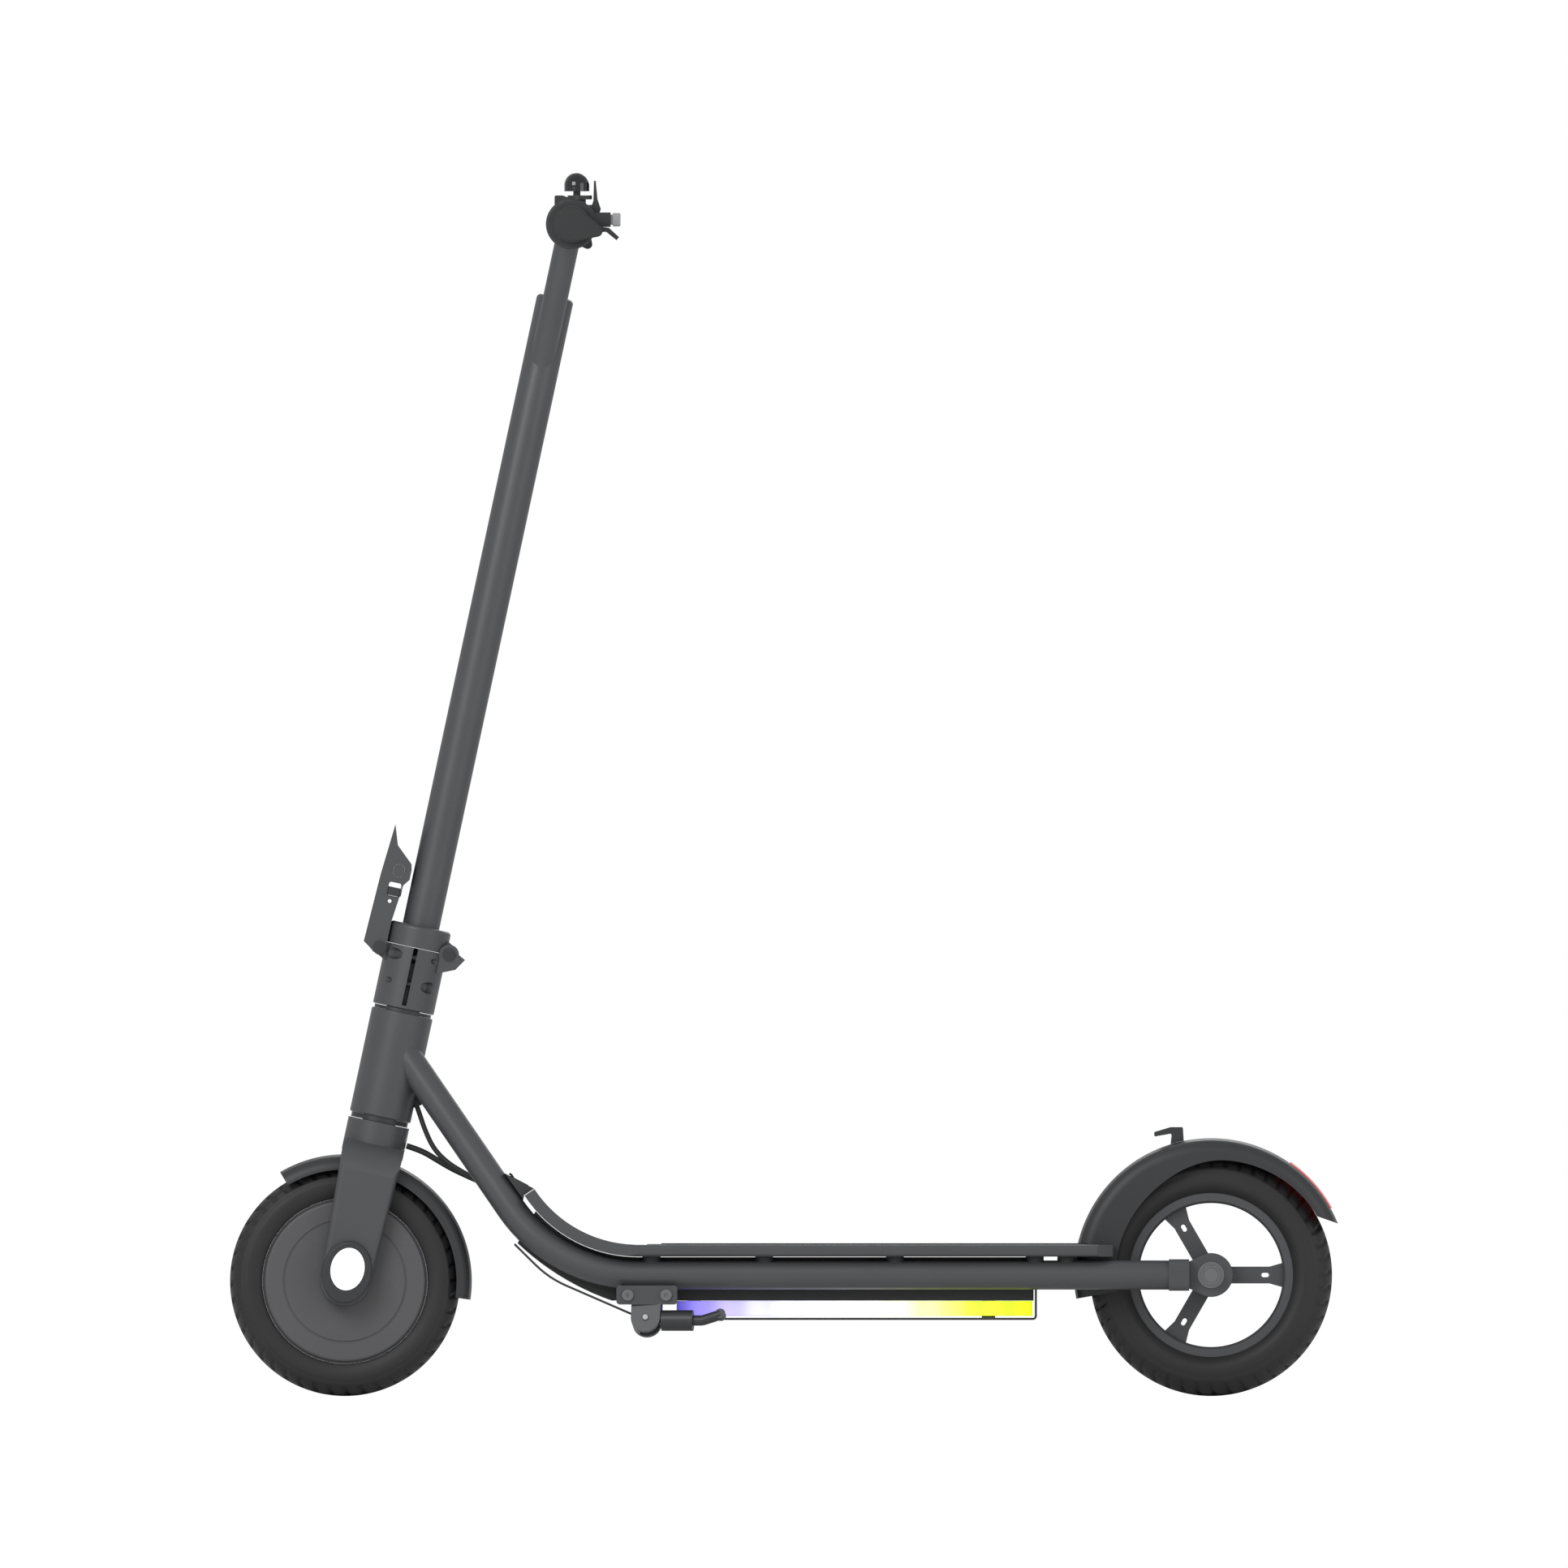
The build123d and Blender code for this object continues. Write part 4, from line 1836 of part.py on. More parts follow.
# ---------------------------------------------------------------- export
os.makedirs("parts", exist_ok=True)
pieces = {
    "head_tube": head_tube,
    "frame_tubes": frame_tubes,
    "rear_frame_plates": rear_frame_plates,
    "cable_gland": cable_gland,
    "headset_bearings": headset_bearings,
    "deck_plate": deck_plate,
    "deck_mat": deck_mat,
    "deck_front_cover": deck_front_cover,
    "frame_spacers": frame_spacers,
    "frame_screws": frame_screws,
    "battery_case": battery_case,
    "battery_pack": battery_pack,
    "motor_controller": motor_controller,
    "light_bars": light_bars,
    "led_strips": led_strips,
    "skid_plate": skid_plate,
    "kickstand_bracket": kickstand_bracket,
    "kickstand_pin": kickstand_pin,
    "rear_fender": rear_fender,
    "fender_hook": fender_hook,
    "tail_light_lens": tail_light_lens,
    "rear_axle_and_nuts": rear_axle_and_nuts,
    "control_cable": control_cable,
    "motor_cable": motor_cable,
    "rear_wheel": rear_wheel,
    "rear_tyre": rear_tyre,
    "rear_bearings": rear_bearings,
    "kickstand_leg": kickstand_leg,
    "charge_cap": charge_cap,
    "fork": fork,
    "steerer_tube": steerer_tube,
    "dropout_covers": dropout_covers,
    "fork_reflectors": fork_reflectors,
    "front_fender": front_fender,
    "motor_stator": motor_stator,
    "front_axle_and_nuts": front_axle_and_nuts,
    "folding_base": folding_base,
    "steering_bolts": steering_bolts,
    "folding_pins": folding_pins,
    "front_tyre": front_tyre,
    "motor_shell": motor_shell,
    "motor_covers": motor_covers,
    "front_bearings": front_bearings,
    "stem_block": stem_block,
    "stem_tube": stem_tube,
    "handlebar": handlebar,
    "handlebar_struts": handlebar_struts,
    "handlebar_grips": handlebar_grips,
    "lever_housings": lever_housings,
    "bell_base": bell_base,
    "bell_dome": bell_dome,
    "display_pod": display_pod,
    "display_lens": display_lens,
    "fold_catch": fold_catch,
    "latch_lever": latch_lever,
    "latch_safety": latch_safety,
    "brake_lever": brake_lever,
    "throttle_lever": throttle_lever,
    "bell_striker": bell_striker,
    "power_button": power_button,
}
for piece_name, piece in pieces.items():
    piece.part.label = piece_name
    export_step(piece.part, f"parts/{piece_name}.step")
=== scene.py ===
import logging
import math
from dataclasses import dataclass
from enum import Enum

import bmesh
import bpy
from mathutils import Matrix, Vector


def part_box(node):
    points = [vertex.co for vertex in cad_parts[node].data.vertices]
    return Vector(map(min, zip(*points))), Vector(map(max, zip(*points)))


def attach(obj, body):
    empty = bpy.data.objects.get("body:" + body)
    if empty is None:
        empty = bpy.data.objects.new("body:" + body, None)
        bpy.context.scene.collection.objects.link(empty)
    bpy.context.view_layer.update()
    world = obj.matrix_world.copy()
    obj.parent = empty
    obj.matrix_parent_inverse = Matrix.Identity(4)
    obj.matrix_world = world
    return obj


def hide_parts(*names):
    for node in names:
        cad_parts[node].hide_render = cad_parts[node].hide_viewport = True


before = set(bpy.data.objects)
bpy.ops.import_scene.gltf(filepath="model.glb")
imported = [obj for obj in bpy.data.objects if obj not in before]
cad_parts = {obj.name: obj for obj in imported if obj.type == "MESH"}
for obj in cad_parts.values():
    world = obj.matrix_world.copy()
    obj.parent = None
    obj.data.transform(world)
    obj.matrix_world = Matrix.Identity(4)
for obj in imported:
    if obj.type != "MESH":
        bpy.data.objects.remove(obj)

log = logging.getLogger("scooter")
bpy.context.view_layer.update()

MM = 0.001


# ---------------------------------------------------------------- small helpers
def linear(colour: str) -> tuple[float, float, float, float]:
    """Turns an sRGB hex colour into linear light.

    Args:
        colour: six hex digits after a hash.

    Returns:
        Red, green, blue and a full alpha.
    """
    parts = [int(colour[i:i + 2], 16) / 255 for i in (1, 3, 5)]
    lit = [p / 12.92 if p <= 0.04045 else ((p + 0.055) / 1.055) ** 2.4 for p in parts]
    return (*lit, 1.0)


def per_mm(size: float) -> float:
    """Scale of a texture whose grain is this many millimetres, on coordinates in metres."""
    return 1 / (size * MM)


def add_node(tree: bpy.types.NodeTree, kind: str, values: dict | None = None, links: dict | None = None,
             **settings: object) -> bpy.types.Node:
    """Adds one node with its settings and links.

    Args:
        tree: the shader or geometry tree that takes it.
        kind: the node's type.
        values: numbers and colours for its inputs, by name or place.
        links: output sockets that feed its inputs, by name or place.
        settings: the node's own properties.

    Returns:
        The new node.
    """
    node = tree.nodes.new(kind)
    for name, value in settings.items():
        setattr(node, name, value)
    for name, value in (values or {}).items():
        node.inputs[name].default_value = value
    for name, socket in (links or {}).items():
        tree.links.new(socket, node.inputs[name])
    return node


def new_material(name: str) -> tuple[bpy.types.Material, bpy.types.Node, bpy.types.Node]:
    """Makes an empty node material.

    Args:
        name: the real material's name.

    Returns:
        The material, its Principled shader and its texture coordinates.
    """
    material = bpy.data.materials.new(name)
    material.use_nodes = True
    tree = material.node_tree
    tree.nodes.clear()
    shader = add_node(tree, "ShaderNodeBsdfPrincipled")
    add_node(tree, "ShaderNodeOutputMaterial", links={"Surface": shader.outputs[0]})
    return material, shader, add_node(tree, "ShaderNodeTexCoord")


def plain_mesh(name: str, tree: bpy.types.NodeTree, inputs: dict) -> bpy.types.Object:
    """Runs a Geometry Nodes tree once and keeps its result as a plain mesh.

    Args:
        name: the piece's name.
        tree: the tree, which makes its own geometry.
        inputs: values for the tree's named inputs.

    Returns:
        An object at the origin with no modifier.
    """
    piece = bpy.data.objects.new(name, bpy.data.meshes.new(name))
    bpy.context.scene.collection.objects.link(piece)
    modifier = piece.modifiers.new("nodes", "NODES")
    modifier.node_group = tree
    sockets = {s.name: s.identifier for s in tree.interface.items_tree if s.in_out == "INPUT"}
    for label, value in inputs.items():
        modifier[sockets[label]] = value
    graph = bpy.context.evaluated_depsgraph_get()
    graph.update()
    mesh = bpy.data.meshes.new_from_object(piece.evaluated_get(graph), depsgraph=graph)
    piece.modifiers.remove(modifier)
    piece.data = mesh
    return piece


def new_geometry_tree(name: str, inputs: dict) -> tuple[bpy.types.NodeTree, bpy.types.Node]:
    """Makes a Geometry Nodes tree with named inputs.

    Args:
        name: the tree's name.
        inputs: each input's name and socket type.

    Returns:
        The tree and its group input node.
    """
    tree = bpy.data.node_groups.new(name, "GeometryNodeTree")
    for label, kind in inputs.items():
        tree.interface.new_socket(label, in_out="INPUT", socket_type=kind)
    tree.interface.new_socket("Geometry", in_out="OUTPUT", socket_type="NodeSocketGeometry")
    return tree, add_node(tree, "NodeGroupInput")


def end_geometry_tree(tree: bpy.types.NodeTree, geometry: bpy.types.NodeSocket,
                      material: bpy.types.NodeSocket) -> None:
    """Ends a tree in Realize Instances and Set Material.

    Args:
        tree: the tree.
        geometry: what it made.
        material: the material's socket.
    """
    real = add_node(tree, "GeometryNodeRealizeInstances", links={0: geometry})
    painted = add_node(tree, "GeometryNodeSetMaterial",
                       links={"Geometry": real.outputs[0], "Material": material})
    add_node(tree, "NodeGroupOutput", links={0: painted.outputs[0]})


# ---------------------------------------------------------------- finishes
@dataclass(frozen=True)
class Coating:
    """A surface with a fine grain, a slow change of tone and a bump.

    Sizes are in millimetres. `streak` stretches the grain along X, as brushing does.
    """

    title: str
    colour: str
    shade: str
    roughness: float
    metallic: float = 0.0
    grain: float = 0.6
    bump: float = 0.02
    mottle: float = 60.0
    streak: float = 1.0
    coat: float = 0.0

    def material(self) -> bpy.types.Material:
        """Builds the node material."""
        material, shader, place = new_material(self.title)
        tree = material.node_tree
        mapped = add_node(tree, "ShaderNodeMapping", {"Scale": (1 / self.streak, 1, 1)},
                          {0: place.outputs["Object"]})
        slow = add_node(tree, "ShaderNodeTexNoise", {"Scale": per_mm(self.mottle), "Detail": 3.0},
                        {"Vector": place.outputs["Object"]})
        fine = add_node(tree, "ShaderNodeTexNoise", {"Scale": per_mm(self.grain), "Detail": 2.0},
                        {"Vector": mapped.outputs[0]})
        tone = add_node(tree, "ShaderNodeMix", {6: linear(self.shade), 7: linear(self.colour)},
                        {0: slow.outputs[0]}, data_type="RGBA")
        gloss = add_node(tree, "ShaderNodeMapRange",
                         {"To Min": self.roughness - 0.05, "To Max": self.roughness + 0.05},
                         {0: fine.outputs[0]})
        bump = add_node(tree, "ShaderNodeBump", {"Strength": 0.6, "Distance": self.bump * MM},
                        {"Height": fine.outputs[0]})
        for name, socket in (("Base Color", tone.outputs[2]), ("Roughness", gloss.outputs[0]),
                             ("Normal", bump.outputs[0])):
            tree.links.new(socket, shader.inputs[name])
        shader.inputs["Metallic"].default_value = self.metallic
        shader.inputs["Coat Weight"].default_value = self.coat
        return material


@dataclass(frozen=True)
class PrismLens:
    """A moulded reflector or lamp lens: small square prisms under a smooth clear skin."""

    title: str
    colour: str
    prism: float
    glow: float

    def material(self) -> bpy.types.Material:
        """Builds the node material."""
        material, shader, place = new_material(self.title)
        tree = material.node_tree
        cells = add_node(tree, "ShaderNodeTexVoronoi", {"Scale": per_mm(self.prism), "Randomness": 0.0},
                         {"Vector": place.outputs["Object"]}, distance="CHEBYCHEV")
        bump = add_node(tree, "ShaderNodeBump", {"Strength": 0.5, "Distance": 0.4 * MM},
                        {"Height": cells.outputs[0]})
        tree.links.new(bump.outputs[0], shader.inputs["Normal"])
        shader.inputs["Base Color"].default_value = linear(self.colour)
        shader.inputs["Roughness"].default_value = 0.22
        shader.inputs["Coat Weight"].default_value = 0.6
        # Emission: on the red tail light lens it is the lamp's own glow; on the white reflector, which is no
        # lamp, it is painted light standing in for reflected light.
        shader.inputs["Emission Color"].default_value = linear(self.colour)
        shader.inputs["Emission Strength"].default_value = self.glow
        return material


@dataclass(frozen=True)
class LitDiffuser:
    """The milky light bar: its lamps change colour along the deck and show as soft spots."""

    title: str = "opal_polycarbonate_lit"
    pitch: float = 26.6
    glow: float = 0.95
    stops: tuple = ((0.0, "#5a4fc4"), (0.13, "#a79de8"), (0.3, "#d9dcf6"), (0.52, "#ffffff"),
                    (0.68, "#e6f2a6"), (0.82, "#cfe63c"), (1.0, "#c6e600"))

    def material(self) -> bpy.types.Material:
        """Builds the node material."""
        material, shader, place = new_material(self.title)
        tree = material.node_tree
        low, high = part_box("light_bars")
        along = add_node(tree, "ShaderNodeSeparateXYZ", links={0: place.outputs["Object"]})
        share = add_node(tree, "ShaderNodeMapRange", {"From Min": low[0], "From Max": high[0]},
                         {0: along.outputs["X"]})
        ramp = add_node(tree, "ShaderNodeValToRGB", links={0: share.outputs[0]})
        while len(ramp.color_ramp.elements) < len(self.stops):
            ramp.color_ramp.elements.new(0.5)
        for element, (position, colour) in zip(ramp.color_ramp.elements, self.stops):
            element.position = position
            element.color = linear(colour)
        phase = add_node(tree, "ShaderNodeMath", {1: 2 * math.pi / (self.pitch * MM)}, {0: along.outputs["X"]},
                         operation="MULTIPLY")
        wave = add_node(tree, "ShaderNodeMath", links={0: phase.outputs[0]}, operation="COSINE")
        spots = add_node(tree, "ShaderNodeMapRange",
                         {"From Min": -1.0, "To Min": 0.8 * self.glow, "To Max": 1.1 * self.glow},
                         {0: wave.outputs[0]})
        tree.links.new(ramp.outputs[0], shader.inputs["Base Color"])
        tree.links.new(ramp.outputs[0], shader.inputs["Emission Color"])
        tree.links.new(spots.outputs[0], shader.inputs["Emission Strength"])
        shader.inputs["Roughness"].default_value = 0.35
        return material


class Finish(Enum):
    """Every finish on the scooter, named by what it is made of."""

    # Powder coat has a fine orange peel, so its highlights are soft and a little broken.
    POWDER_COAT = Coating("powder_coated_aluminium", "#4d4e50", "#454648", 0.42, grain=0.9, bump=0.03, coat=0.05)
    MOTOR_COAT = Coating("powder_coated_motor_cover", "#58585a", "#505052", 0.5, grain=0.5, bump=0.03)
    # Moulded ABS has a fine spark texture and no metal under it.
    ABS = Coating("moulded_abs", "#333436", "#2c2d2f", 0.48, grain=0.5, bump=0.03)
    ABS_DARK = Coating("moulded_abs_battery_case", "#232426", "#1d1e20", 0.5, grain=0.5, bump=0.03)
    TYRE = Coating("tyre_rubber", "#242425", "#1d1d1e", 0.55, grain=0.7, bump=0.05, mottle=25.0)
    GRIP = Coating("thermoplastic_rubber", "#2d2e2f", "#262728", 0.7, grain=0.4, bump=0.05)
    MAT = Coating("ribbed_deck_rubber", "#2a2b2c", "#232425", 0.78, grain=0.5, bump=0.06)
    JACKET = Coating("pvc_cable_jacket", "#303133", "#292a2b", 0.45, grain=0.8, bump=0.02)
    ZINC = Coating("zinc_plated_steel", "#8d8e90", "#77787a", 0.34, metallic=1.0, grain=0.4, bump=0.01)
    DARK_STEEL = Coating("black_oxide_steel", "#4a4b4d", "#3d3e40", 0.38, metallic=0.6, grain=0.4, bump=0.015,
                         streak=6.0)
    BLACK_CHROME = Coating("black_chrome_bell", "#3a3b3d", "#2e2f31", 0.12, metallic=0.9, grain=2.0, bump=0.004,
                           coat=0.8)
    CAST_ALUMINIUM = Coating("cast_aluminium", "#a0a1a3", "#8b8c8e", 0.45, metallic=1.0, grain=0.8)
    COPPER = Coating("varnished_copper", "#9b5a36", "#7f4527", 0.35, metallic=1.0, grain=0.8)
    GREY_ABS = Coating("grey_abs_button", "#a9abad", "#9c9ea0", 0.4, grain=0.5)
    WRAP = Coating("pvc_battery_wrap", "#1e3f78", "#18325f", 0.3, grain=1.5)
    BOARD = Coating("white_led_board", "#e8e8e4", "#d9d9d5", 0.5, grain=0.8)
    SCREEN = Coating("smoked_acrylic", "#101114", "#0c0d0f", 0.08, grain=3.0, bump=0.002, coat=1.0)
    # The white reflector is no lamp: its glow is painted light, a painted reflection that brightens it.
    WHITE_PRISM_PAINTED_GLOW = PrismLens("white_prism_reflector_painted_glow", "#f0f1f2", 1.6, 0.35)
    RED_PRISM = PrismLens("red_prism_lens", "#c4141c", 2.0, 0.25)
    LIT = LitDiffuser()


NODE_FINISH: dict[Finish, str] = {
    Finish.POWDER_COAT: "head_tube frame_tubes rear_frame_plates deck_plate kickstand_bracket rear_wheel fork "
                        "folding_base stem_block stem_tube handlebar handlebar_struts latch_lever",
    Finish.MOTOR_COAT: "motor_covers",
    Finish.ABS: "deck_front_cover rear_fender front_fender dropout_covers lever_housings bell_base display_pod "
                "latch_safety brake_lever throttle_lever bell_striker",
    Finish.ABS_DARK: "battery_case",
    Finish.GRIP: "handlebar_grips cable_gland charge_cap frame_spacers",
    Finish.MAT: "deck_mat",
    Finish.ZINC: "frame_screws kickstand_pin rear_axle_and_nuts front_axle_and_nuts",
    Finish.DARK_STEEL: "headset_bearings skid_plate fender_hook rear_bearings kickstand_leg steerer_tube "
                       "steering_bolts folding_pins motor_shell front_bearings fold_catch",
    Finish.BLACK_CHROME: "bell_dome",
    Finish.CAST_ALUMINIUM: "motor_controller",
    Finish.COPPER: "motor_stator",
    Finish.GREY_ABS: "power_button",
    Finish.WRAP: "battery_pack",
    Finish.BOARD: "led_strips",
    Finish.SCREEN: "display_lens",
    Finish.WHITE_PRISM_PAINTED_GLOW: "fork_reflectors",
    Finish.RED_PRISM: "tail_light_lens",
    Finish.LIT: "light_bars",
}


class PaintShop:
    """Makes each finish once and hands it to the frame's nodes and to new pieces."""

    def __init__(self) -> None:
        """Builds every material."""
        self.materials = {finish: finish.value.material() for finish in Finish}

    def dress(self, piece: bpy.types.Object, finish: Finish) -> None:
        """Puts one finish on a new piece.

        Args:
            piece: the piece, whose mesh or curve takes the material.
            finish: the finish.
        """
        piece.data.materials.clear()
        piece.data.materials.append(self.materials[finish])

    def dress_frame(self) -> None:
        """Puts its finish on every node of the frame."""
        for finish, names in NODE_FINISH.items():
            for name in names.split():
                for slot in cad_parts[name].material_slots:
                    slot.material = self.materials[finish]


# ---------------------------------------------------------------- cables
@dataclass
class Cable:
    """A free cable between the steering and the deck. Its route is in millimetres."""

    name: str
    node: str
    diameter: float
    length: float
    route: tuple[tuple[float, float, float], ...]

    def build(self, shop: PaintShop) -> bpy.types.Object:
        """Makes the cable as one smooth spline.

        Args:
            shop: gives the jacket's finish.

        Returns:
            The finished curve.
        """
        curve = bpy.data.curves.new(self.name, "CURVE")
        curve.dimensions = "3D"
        curve.bevel_depth = self.diameter / 2 * MM
        curve.bevel_resolution = 6
        curve.resolution_u = 16
        curve.use_fill_caps = True
        spline = curve.splines.new("NURBS")
        spline.points.add(len(self.route) - 1)
        for point, place in zip(spline.points, self.route):
            point.co = (*(value * MM for value in place), 1)
        spline.order_u = 3
        spline.use_endpoint_u = True
        piece = bpy.data.objects.new(self.name, curve)
        bpy.context.scene.collection.objects.link(piece)
        shop.dress(piece, Finish.JACKET)
        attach(piece, "frame")
        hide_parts(self.node)
        return piece


CABLES = (
    Cable("control_lead", "control_cable", 4.4, 119.0, (
        (-328.24, 0, 264.32), (-324.14, 0, 253.05), (-318.6, -1.5, 236.0), (-310.6, -3.0, 219.0),
        (-298.0, -5.0, 206.6), (-284.0, -6.4, 198.2), (-268.98, -7.0, 190.04), (-249.58, -7.0, 182.0))),
    Cable("motor_lead", "motor_cable", 5.3, 94.0, (
        (-334.75, 0.3, 222.0), (-322.19, 1.6, 218.09), (-309.5, 3.6, 210.6), (-297.0, 5.4, 203.0),
        (-283.0, 6.6, 196.2), (-268.98, 7.0, 190.04), (-249.58, 7.0, 182.0))),
)


# ---------------------------------------------------------------- tyres
@dataclass
class Tyre:
    """A tyre with moulded shoulder blocks and sidewall rings. It fills its frame node's space."""

    name: str
    node: str
    body: str
    blocks: int
    groove: float = 2.2
    around: int = 648
    across: int = 72
    bead_angle: float = 60.0

    def measure(self) -> None:
        """Reads the centre, radii and widths from the frame's own tyre."""
        low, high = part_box(self.node)
        self.centre = Vector(((low[0] + high[0]) / 2, 0, (low[2] + high[2]) / 2))
        self.radius = (high[0] - low[0]) / 2
        self.half_width = (high[1] - low[1]) / 2
        corners = [v.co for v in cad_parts[self.node].data.vertices]
        reach = [math.hypot(c.x - self.centre.x, c.z - self.centre.z) for c in corners]
        self.bore = min(reach)
        self.bead = max(abs(c.y) for c, r in zip(corners, reach) if r < self.bore + MM)

    def section(self, share: float) -> tuple[float, float, float]:
        """One point of the tyre's section.

        Args:
            share: 0 at one bead and 1 at the other.

        Returns:
            Distance across, radius and the sine that says how near the crown it is.
        """
        angle = math.radians(-self.bead_angle + share * (180 + 2 * self.bead_angle))
        across, up = math.cos(angle), math.sin(angle)
        widest = self.bore + 0.40 * (self.radius - self.bore)
        side = math.copysign(1, across)
        if up < 0:
            drop = -up / math.sin(math.radians(self.bead_angle))
            return side * (self.bead + (self.half_width - self.bead) * (1 - drop ** 2)), \
                widest - (widest - self.bore) * drop, up
        ring = 0.5 * MM * (math.exp(-((up - 0.22) / 0.05) ** 2) + math.exp(-((up - 0.48) / 0.05) ** 2))
        reach = widest + (self.radius - widest) * up ** 0.8
        return side * (self.half_width * abs(across) ** 0.8 - ring), reach, up

    def depth(self, turn: float, across: float, up: float) -> float:
        """How deep the tread is cut at one place.

        Args:
            turn: share of a turn round the axle.
            across: distance from the middle of the tread.
            up: how near the crown it is.

        Returns:
            The depth in metres, towards the axle.
        """
        if up < 0.45:
            return 0.0
        reach = abs(across) / self.half_width
        lean = 0.5 if across > 0 else 0.0
        wave = (turn * self.blocks + lean + 0.6 * reach) % 1
        shoulder = max(0.0, min(1.0, (0.17 - abs(wave - 0.5)) / 0.06)) if reach > 0.34 else 0.0
        ditch = max(0.0, 1 - abs(reach - 0.26) / 0.07)
        fade = min(1.0, (up - 0.45) / 0.12)
        return self.groove * MM * fade * max(shoulder, 0.8 * ditch)

    def build(self, shop: PaintShop) -> bpy.types.Object:
        """Makes the tyre.

        Args:
            shop: gives the rubber.

        Returns:
            The finished piece.
        """
        self.measure()
        rows = [self.section(i / (self.across - 1)) for i in range(self.across)]
        points = []
        for step in range(self.around):
            turn = step / self.around
            angle = 2 * math.pi * turn
            for across, radius, up in rows:
                reach = radius - self.depth(turn, across, up)
                points.append((self.centre.x + reach * math.cos(angle), across,
                               self.centre.z + reach * math.sin(angle)))
        faces = []
        for step in range(self.around):
            here, there = step * self.across, (step + 1) % self.around * self.across
            for row in range(self.across):
                after = (row + 1) % self.across
                faces.append((here + row, here + after, there + after, there + row))
        mesh = bpy.data.meshes.new(self.name)
        mesh.from_pydata(points, [], faces)
        shape = bmesh.new()
        shape.from_mesh(mesh)
        bmesh.ops.recalc_face_normals(shape, faces=shape.faces)
        shape.to_mesh(mesh)
        shape.free()
        mesh.polygons.foreach_set("use_smooth", [True] * len(mesh.polygons))
        piece = bpy.data.objects.new(self.name, mesh)
        bpy.context.scene.collection.objects.link(piece)
        shop.dress(piece, Finish.TYRE)
        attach(piece, self.body)
        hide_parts(self.node)
        return piece


# ---------------------------------------------------------------- repeated details
@dataclass
class GripRibs:
    """Moulded rings round both grips, inboard of the palm rests. Sizes are in millimetres."""

    count: int = 9
    pitch: float = 3.6
    rib: float = 0.9
    sink: float = 0.35
    inset: float = 5.0
    grip_radius: float = 15.6
    grip_start: float = 106.0

    def tree(self) -> bpy.types.NodeTree:
        """Rings repeated along the bar."""
        tree, given = new_geometry_tree("rings_along_bar", {
            "Count": "NodeSocketInt", "Start": "NodeSocketVector", "Step": "NodeSocketVector",
            "Ring Radius": "NodeSocketFloat", "Rib Radius": "NodeSocketFloat", "Material": "NodeSocketMaterial"})
        ring = add_node(tree, "GeometryNodeCurvePrimitiveCircle", {"Resolution": 48},
                        {"Radius": given.outputs["Ring Radius"]})
        wire = add_node(tree, "GeometryNodeCurvePrimitiveCircle", {"Resolution": 8},
                        {"Radius": given.outputs["Rib Radius"]})
        rib = add_node(tree, "GeometryNodeCurveToMesh", links={0: ring.outputs[0], 1: wire.outputs[0]})
        line = add_node(tree, "GeometryNodeMeshLine", links={
            "Count": given.outputs["Count"], "Start Location": given.outputs["Start"],
            "Offset": given.outputs["Step"]})
        many = add_node(tree, "GeometryNodeInstanceOnPoints", {"Rotation": (math.pi / 2, 0, 0)},
                        {"Points": line.outputs[0], "Instance": rib.outputs[0]})
        end_geometry_tree(tree, many.outputs[0], given.outputs["Material"])
        return tree

    def build(self, shop: PaintShop) -> list[bpy.types.Object]:
        """Makes the rings of both grips.

        Args:
            shop: gives the rubber.

        Returns:
            One piece for each grip.
        """
        low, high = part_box("handlebar")
        centre = ((low[0] + high[0]) / 2, (low[2] + high[2]) / 2)
        tree = self.tree()
        pieces = []
        for side, label in ((-1, "left"), (1, "right")):
            piece = plain_mesh(f"{label}_grip_ribs", tree, {
                "Count": self.count, "Start": (centre[0], side * (self.grip_start + self.inset) * MM, centre[1]),
                "Step": (0, side * self.pitch * MM, 0), "Ring Radius": (self.grip_radius - self.sink) * MM,
                "Rib Radius": self.rib * MM, "Material": shop.materials[Finish.GRIP]})
            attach(piece, "stem")
            pieces.append(piece)
        return pieces


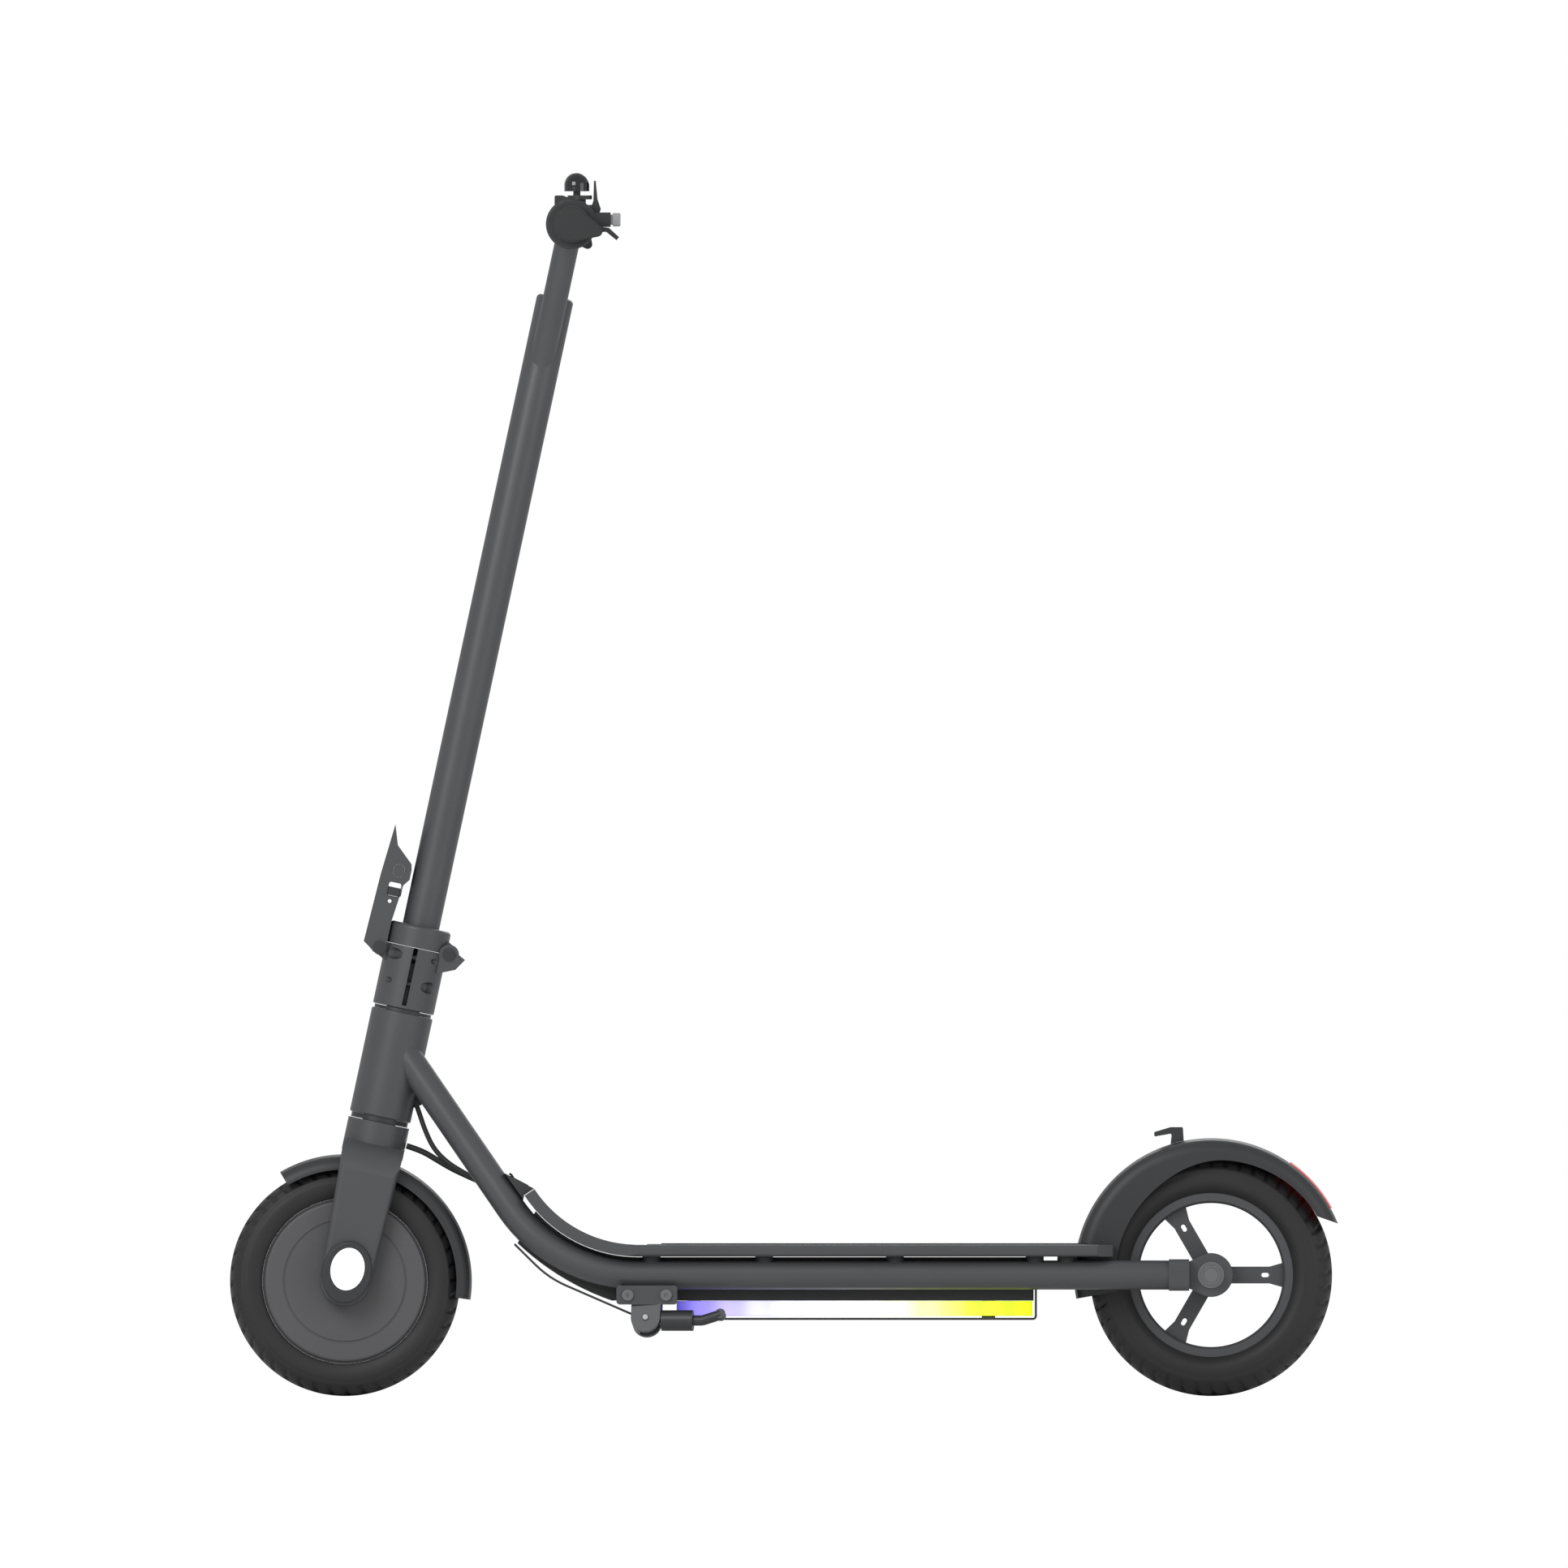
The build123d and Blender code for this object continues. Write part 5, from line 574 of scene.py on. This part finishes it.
@dataclass
class MatStuds:
    """Round studs in staggered rows on the deck mat. Sizes are in millimetres."""

    pitch: float = 9.0
    radius: float = 2.6
    proud: float = 0.7
    margin: float = 9.0

    def tree(self) -> bpy.types.NodeTree:
        """A grid of studs whose odd rows are moved by half a pitch."""
        tree, given = new_geometry_tree("staggered_studs", {
            "Length": "NodeSocketFloat", "Width": "NodeSocketFloat", "Columns": "NodeSocketInt",
            "Rows": "NodeSocketInt", "Pitch": "NodeSocketFloat", "Radius": "NodeSocketFloat",
            "Height": "NodeSocketFloat", "Centre": "NodeSocketVector", "Material": "NodeSocketMaterial"})
        grid = add_node(tree, "GeometryNodeMeshGrid", links={
            "Size X": given.outputs["Length"], "Size Y": given.outputs["Width"],
            "Vertices X": given.outputs["Columns"], "Vertices Y": given.outputs["Rows"]})
        place = add_node(tree, "GeometryNodeInputPosition")
        parts = add_node(tree, "ShaderNodeSeparateXYZ", links={0: place.outputs[0]})
        row = add_node(tree, "ShaderNodeMath", links={0: parts.outputs["Y"], 1: given.outputs["Pitch"]},
                       operation="DIVIDE")
        whole = add_node(tree, "ShaderNodeMath", links={0: row.outputs[0]}, operation="ROUND")
        odd = add_node(tree, "ShaderNodeMath", {1: 2.0}, {0: whole.outputs[0]}, operation="FLOORED_MODULO")
        half = add_node(tree, "ShaderNodeMath", {1: 0.5}, {0: given.outputs["Pitch"]}, operation="MULTIPLY")
        slide = add_node(tree, "ShaderNodeMath", links={0: odd.outputs[0], 1: half.outputs[0]},
                         operation="MULTIPLY")
        shift = add_node(tree, "ShaderNodeCombineXYZ", links={"X": slide.outputs[0]})
        moved = add_node(tree, "GeometryNodeSetPosition", links={"Geometry": grid.outputs[0],
                                                                 "Offset": shift.outputs[0]})
        stud = add_node(tree, "GeometryNodeMeshCylinder", {"Vertices": 14},
                        {"Radius": given.outputs["Radius"], "Depth": given.outputs["Height"]})
        many = add_node(tree, "GeometryNodeInstanceOnPoints",
                        links={"Points": moved.outputs[0], "Instance": stud.outputs[0]})
        seated = add_node(tree, "GeometryNodeTransform",
                          links={"Geometry": many.outputs[0], "Translation": given.outputs["Centre"]})
        end_geometry_tree(tree, seated.outputs[0], given.outputs["Material"])
        return tree

    def build(self, shop: PaintShop) -> bpy.types.Object:
        """Makes the studs over the whole mat.

        Args:
            shop: gives the rubber.

        Returns:
            The finished piece.
        """
        low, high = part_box("deck_mat")
        pitch = self.pitch * MM
        columns = int((high[0] - low[0] - 2 * self.margin * MM) / pitch)
        # An odd number of rows, so that one lies on the middle of the mat.
        rows = int((high[1] - low[1] - 2 * self.margin * MM) / pitch / 2) * 2 + 1
        piece = plain_mesh("deck_mat_studs", self.tree(), {
            "Length": (columns - 1) * pitch, "Width": (rows - 1) * pitch, "Columns": columns, "Rows": rows,
            "Pitch": pitch, "Radius": self.radius * MM, "Height": 2 * self.proud * MM,
            "Centre": ((low[0] + high[0]) / 2 - pitch / 4, 0, high[2]), "Material": shop.materials[Finish.MAT]})
        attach(piece, "frame")
        return piece


# ---------------------------------------------------------------- studio
@dataclass
class Studio:
    """A pale floor, soft lights and the side view."""

    frame_height: float = 1.391
    middle: float = 0.543

    def lamp(self, name: str, place: tuple, size: float, power: float) -> None:
        """Adds one soft square light aimed at the scooter's middle.

        Args:
            name: the lamp's name.
            place: where it stands, in metres.
            size: its side, in metres.
            power: in watts.
        """
        light = bpy.data.lights.new(name, "AREA")
        light.size = size
        light.energy = power
        lamp = bpy.data.objects.new(name, light)
        lamp.location = place
        lamp.rotation_euler = (Vector((0, 0, self.middle)) - Vector(place)).to_track_quat("-Z", "Y").to_euler()
        bpy.context.scene.collection.objects.link(lamp)

    def build(self, scene: bpy.types.Scene) -> None:
        """Sets up the camera, world, floor and lights.

        Args:
            scene: the scene that takes them.
        """
        camera = bpy.data.cameras.new("side_view")
        camera.type = "ORTHO"
        camera.ortho_scale = self.frame_height
        view = bpy.data.objects.new("side_view", camera)
        view.location = (0, -4, self.middle)
        view.rotation_euler = (math.pi / 2, 0, 0)
        scene.collection.objects.link(view)
        scene.camera = view
        scene.view_settings.view_transform = "Standard"
        world = bpy.data.worlds.new("white_studio")
        world.use_nodes = True
        tree = world.node_tree
        tree.nodes.clear()
        seen = add_node(tree, "ShaderNodeBackground", {"Color": (1, 1, 1, 1), "Strength": 1.0})
        fill = add_node(tree, "ShaderNodeBackground", {"Color": (1, 1, 1, 1), "Strength": 0.55})
        path = add_node(tree, "ShaderNodeLightPath")
        both = add_node(tree, "ShaderNodeMixShader",
                        links={0: path.outputs["Is Camera Ray"], 1: fill.outputs[0], 2: seen.outputs[0]})
        add_node(tree, "ShaderNodeOutputWorld", links={0: both.outputs[0]})
        scene.world = world
        floor = bpy.data.objects.new("floor", bpy.data.meshes.new("floor"))
        floor.data.from_pydata([(-4, -4, 0), (4, -4, 0), (4, 4, 0), (-4, 4, 0)], [], [(0, 1, 2, 3)])
        pale, shader, _ = new_material("pale_floor")
        shader.inputs["Base Color"].default_value = linear("#f2f2f2")
        shader.inputs["Roughness"].default_value = 0.9
        floor.data.materials.append(pale)
        scene.collection.objects.link(floor)
        self.lamp("key", (-1.6, -2.6, 1.9), 1.6, 42.0)
        self.lamp("fill", (2.2, -2.2, 1.2), 1.8, 14.0)
        self.lamp("back", (0.4, 2.6, 2.0), 1.8, 20.0)


def main() -> None:
    """Builds the studio, the finishes and each piece in order."""
    Studio().build(bpy.context.scene)
    shop = PaintShop()
    for cable in CABLES:
        log.info("cable %s", cable.build(shop).name)
    shop.dress_frame()
    for tyre in (Tyre("front_tyre_tread", "front_tyre", "front_wheel", 44),
                 Tyre("rear_tyre_tread", "rear_tyre", "rear_wheel", 48)):
        log.info("tyre %s", tyre.build(shop).name)
    for piece in GripRibs().build(shop):
        log.info("grip ribs %s", piece.name)
    log.info("mat %s", MatStuds().build(shop).name)


if __name__ == "__main__":
    main()
